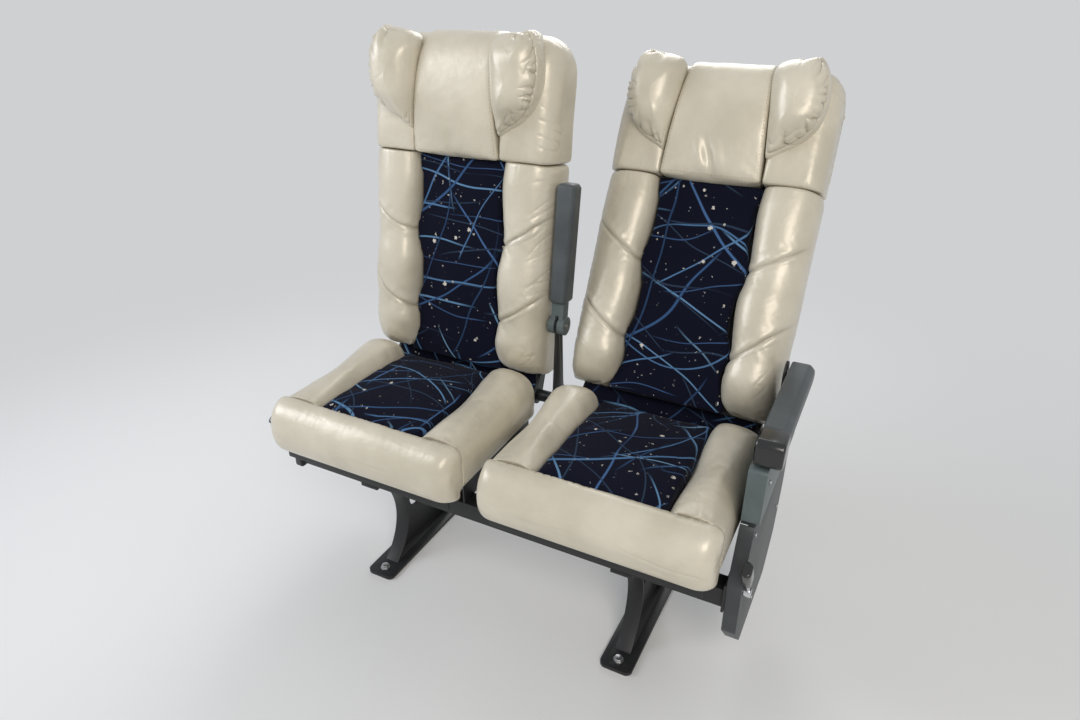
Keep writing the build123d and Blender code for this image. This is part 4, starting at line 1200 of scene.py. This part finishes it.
def makePocket(which):
    look = pocketLook
    edge = np.linspace(-1, 1, look["across"])
    across = np.sin(edge * math.pi / 2) * 0.55 + edge * 0.45  # finer towards the sewn sides
    rise = look["high"] - look["low"]
    rows = []
    for height in look["low"] + np.linspace(0, 1, look["up"]) ** 1.6 * rise:  # and towards the foot
        share = np.full(len(across), (height - look["low"]) / rise)
        depth = pocketDepth(across, share, seats[which]["seed"])
        dip = look["dip"] * (1 - across ** 2) * (height - look["low"]) / rise
        rows.append(inRows(across * look["half"], look["face"] + depth, height - dip))
    count = len(across)
    faces = [(r + count + c, r + count + c + 1, r + c + 1, r + c)
             for r in range(0, (len(rows) - 1) * count, count) for c in range(count - 1)]
    mesh = bpy.data.meshes.new("pocket_" + which)
    mesh.from_pydata(np.concatenate(rows).tolist(), [], faces)
    piece = linkPiece("pocket_" + which, mesh)
    markPanel(piece, lambda x, y, z: (x, z + y))
    finishModifier(piece, "SOLIDIFY", thickness=look["thick"], offset=-1.0)
    placeSheet(piece, which, pocketCloth, "back_pocket_" + which)
    hem = makeHem(which, rows[-1])
    print("pocket", which, round(sum(p.area for p in mesh.polygons) / 2, 4), "m2")


def makeHem(which, line):  # the elastic that binds the pocket's mouth
    look = pocketLook
    turn = np.linspace(0, 2 * math.pi, 16, endpoint=False)
    out, up = (np.sign(wave) * np.abs(wave) ** 0.6 for wave in (np.cos(turn), np.sin(turn)))
    out = look["hemThick"] * out
    up = look["hemHigh"] * up - look["hemDrop"]
    hem = skinRings("pocket_hem_" + which, [inRows(x, y + out, z + up) for x, y, z in line])
    hem.vertex_groups.clear()
    markPanel(hem, lambda x, y, z: (x, z + y))
    placeSheet(hem, which, elastic)
    return hem


for which in seats:
    makePocket(which)
print("pockets made")


def surfaceOf(piece):
    mesh = piece.data
    return BVHTree.FromPolygons([v.co for v in mesh.vertices], [p.vertices[:] for p in mesh.polygons])


def joinCopies(source, name, places, body, material):  # one copy at each place, made one piece
    copies = []
    for number, place in enumerate(places):
        mesh = source.data.copy()
        mesh.transform(place)
        copies.append(linkPiece(name + "_" + str(number), mesh))
    joined = joinPieces(copies)
    joined.name = name
    joined.data.name = name
    handOver(joined, material, body)


def standOn(tree, start, direction, sink):  # where a line meets a surface, turned to stand on it
    spot, normal, index, distance = tree.ray_cast(Vector(start), Vector(direction))
    if spot is None:
        raise ValueError("no surface at " + str(start))
    return Matrix.Translation(spot - normal * sink) @ normal.to_track_quat("Z", "Y").to_matrix().to_4x4()


def addDisc(name, corners, radius, low, high):  # a round or cornered disc that stands on a height
    bpy.ops.mesh.primitive_cylinder_add(vertices=corners, radius=radius, depth=high,
                                        location=(0, 0, low + high / 2))
    return settle(bpy.context.object, name)


screwLook = {
    "radius": 0.0046, "high": 0.0026, "socket": 0.0021, "deep": 0.0015, "round": 0.0007, "sink": 0.0003,
    "backAcross": 0.172, "backUp": (0.055, 0.450, 0.715),
    "places": {  # which way each piece faces, then where on it: front to back, up
        "side_shield_aisle": (1, [(-0.120, 0.405), (0.160, 0.405), (0.160, 0.270), (-0.020, 0.170)]),
        "side_cover_window": (-1, [(-0.120, 0.290), (0.170, 0.375), (0.120, 0.275)]),
        "arm_panel_aisle": (1, [(0.150, 0.480), (-0.090, 0.500)]),
    },
}


def makeScrew():  # a button head with a round socket
    look = screwLook
    screw = addDisc("screw_base", 28, look["radius"], 0, look["high"])
    selectFaces(screw, lambda faces: [f for f in faces if f.normal.z > 0.9])
    bpy.ops.mesh.inset(thickness=look["radius"] - look["socket"])
    bpy.ops.mesh.extrude_region_move(TRANSFORM_OT_translate={"value": (0, 0, -look["deep"])})
    bpy.ops.object.mode_set(mode="OBJECT")
    roundEdges(screw, look["round"], 3, 50)
    return smoothUnder(screw, 40)


boltLook = {
    "washer": 0.0110, "washerThick": 0.0020, "washerRound": 0.0004, "across": 0.0092, "head": 0.0064,
    "headRound": 0.0009, "foot": 0.008,
    "places": ((0.3, 0.15, 0.2), (0.3, -0.15, 0.9), (-0.3, 0.15, 0.5), (-0.3, -0.15, 0.1)),  # x, y, turn
}


def makeFootBolt():  # an M10 hexagon head on a plain washer
    look = boltLook
    washer = addDisc("washer_base", 36, look["washer"], 0, look["washerThick"])
    roundEdges(washer, look["washerRound"], 2, 50)
    head = addDisc("bolt_base", 6, look["across"], look["washerThick"], look["head"])
    roundEdges(head, look["headRound"], 3, 50)
    return smoothUnder(joinPieces([washer, head]), 35)


bolt = makeFootBolt()
feet = [Matrix.Translation((x, y, boltLook["foot"])) @ Matrix.Rotation(turn, 4, "Z")
        for x, y, turn in boltLook["places"]]
joinCopies(bolt, "foot_bolts", feet, "base", zincSteel)
bpy.data.objects.remove(bolt)

screw = makeScrew()
for node, (facing, spots) in screwLook["places"].items():
    tree = surfaceOf(nodes[node])
    places = [standOn(tree, (facing * 0.8, y, z), (-facing, 0, 0), screwLook["sink"]) for y, z in spots]
    joinCopies(screw, "screws_" + node, places, "base", zincSteel)
for which in seats:
    tree = surfaceOf(nodes["back_shell_" + which])
    place = backPlace(which)
    facing = place.to_3x3() @ Vector((0, -1, 0))
    starts = [place @ Vector((side * screwLook["backAcross"], 0.3, z))
              for side in (-1, 1) for z in screwLook["backUp"]]
    places = [standOn(tree, start, facing, screwLook["sink"]) for start in starts]
    joinCopies(screw, "screws_back_" + which, places, "back_" + which, zincSteel)
bpy.data.objects.remove(screw)

stitchLook = {
    "long": 0.0052, "apart": 0.0071, "thick": 0.00055, "sink": 0.0001, "beside": 0.0065,
    "headUp": (0.545, 0.768), "headLow": 0.5425, "headHalf": 0.098, "seatY": -0.2075, "seatHalf": 0.210,
}


def makeStitch():
    look = stitchLook
    bpy.ops.mesh.primitive_uv_sphere_add(segments=8, ring_count=6, radius=1)
    stitch = bpy.context.object
    stitch.scale = (look["thick"], look["long"] / 2, look["thick"])
    settle(stitch, "stitch_base")
    stitch.data.shade_smooth()
    return stitch


def stitchRow(tree, starts, direction):  # a stitch at each start, lying along the row
    spots = [tree.ray_cast(Vector(s), Vector(direction)) for s in starts]
    places = []
    for before, after in zip(spots[:-1], spots[1:]):
        if before[0] is None or after[0] is None:
            continue
        along = after[0] - before[0]
        if along.length > 2.5 * stitchLook["apart"]:
            continue
        along = along.normalized()
        up = (before[1] + after[1]).normalized()
        side = along.cross(up).normalized()
        up = side.cross(along)
        turn = Matrix((side, along, up)).transposed().to_4x4()
        places.append(Matrix.Translation((before[0] + after[0]) / 2 - up * stitchLook["sink"]) @ turn)
    return places


def placesAlong(first, last):
    return np.arange(first, last, stitchLook["apart"])


stitch = makeStitch()
for which in seats:
    look = stitchLook
    place = backPlace(which)
    facing = place.to_3x3() @ Vector((0, 1, 0))
    tree = surfaceOf(bpy.data.objects["headrest_middle_" + which])
    places = []
    for side in (-1, 1):
        starts = [place @ Vector((side * (headSeam(z) - look["beside"]), -0.4, z))
                  for z in placesAlong(*look["headUp"])]
        places += stitchRow(tree, starts, facing)
    starts = [place @ Vector((x, -0.4, look["headLow"]))
              for x in placesAlong(-look["headHalf"], look["headHalf"])]
    places += stitchRow(tree, starts, facing)
    joinCopies(stitch, "stitches_back_" + which, places, "back_" + which, thread)
    tree = surfaceOf(bpy.data.objects["cushion_front_" + which])
    middle = seats[which]["middle"]
    starts = [(middle + x, look["seatY"], 0.6) for x in placesAlong(-look["seatHalf"], look["seatHalf"])]
    places = stitchRow(tree, starts, (0, 0, -1))
    joinCopies(stitch, "stitches_seat_" + which, places, "base", thread)
bpy.data.objects.remove(stitch)
print("screws, bolts and stitches placed")

stageLook = {
    "paint": "#ebecec", "backdrop": "#cfd0d2", "sky": "#eef1f5", "skyStrength": 0.42,
    "radius": 14, "fade": (0.9, 2.5),  # the floor turns into the backdrop between these distances
    "lamps": [  # place, aim, size, power, colour
        ((1.9, -2.6, 2.7), (0, 0, 0.7), 1.8, 62, "#fff6ea"),
        ((-2.6, -1.2, 2.2), (0, 0.1, 0.8), 1.6, 40, "#f2f6ff"),
        ((-0.6, 2.6, 2.6), (0, 0.2, 0.8), 1.8, 34, "#ffffff"),
    ],
}
cameraLook = {"eye": (0.633, -1.16, 1.25), "aim": (0.01, 0.06, 0.545), "back": 1.02, "lens": 24.6}


def makeFloor():
    # painted floor, pale and matt, that fades into the backdrop
    look = stageLook
    m, place = startMaterial("studio floor, painted pale")
    reach = addNode(m, "VectorMath", {0: place}, operation="LENGTH")
    far = addNode(m, "MapRange", {
        "Value": reach, "From Min": look["fade"][0], "From Max": look["fade"][1]},
        interpolation_type="SMOOTHSTEP")
    near = addNode(m, "BsdfPrincipled", {"Base Color": look["paint"], "Roughness": 0.7})
    glow = addNode(m, "Emission", {"Color": look["backdrop"], "Strength": 1.0})
    endMaterial(m, addNode(m, "MixShader", {0: far, 1: near, 2: glow}))
    bpy.ops.mesh.primitive_circle_add(vertices=96, radius=look["radius"], fill_type="NGON",
                                      location=(0, 0, -0.0005))
    floor = settle(bpy.context.object, "studio_floor")
    floor.data.materials.append(m)


def makeWorld():
    look = stageLook
    world = bpy.data.worlds.new("studio")
    world.use_nodes = True
    world.node_tree.nodes.clear()
    sight = addNode(world, "LightPath")
    clear = addNode(world, "Math", {
        0: sight.outputs["Is Glossy Ray"], 1: sight.outputs["Is Transmission Ray"]}, operation="MAXIMUM")
    shown = addNode(world, "Math", {0: sight.outputs["Is Camera Ray"], 1: clear},
                    operation="MAXIMUM")
    light = addNode(world, "Background", {"Color": look["sky"], "Strength": look["skyStrength"]})
    seen = addNode(world, "Background", {"Color": look["backdrop"], "Strength": 1.0})
    mixed = addNode(world, "MixShader", {0: shown, 1: light, 2: seen})
    addNode(world, "OutputWorld", {"Surface": mixed})
    scene.world = world


def aimAt(thing, target):
    direction = Vector(target) - thing.location
    thing.rotation_euler = direction.to_track_quat("-Z", "Y").to_euler()


makeFloor()
makeWorld()
for number, (place, aim, size, power, colour) in enumerate(stageLook["lamps"]):
    bpy.ops.object.light_add(type="AREA", location=place)
    lamp = bpy.context.object
    lamp.name = "softbox_" + str(number)
    lamp.data.shape = "SQUARE"
    lamp.data.size = size
    lamp.data.energy = power
    lamp.data.color = toLinear(colour)[:3]
    aimAt(lamp, aim)

aim = Vector(cameraLook["aim"])
bpy.ops.object.camera_add(location=aim + (Vector(cameraLook["eye"]) - aim) * cameraLook["back"])
camera = bpy.context.object
aimAt(camera, aim)
camera.data.lens = cameraLook["lens"]
scene.camera = camera
print("stage set")
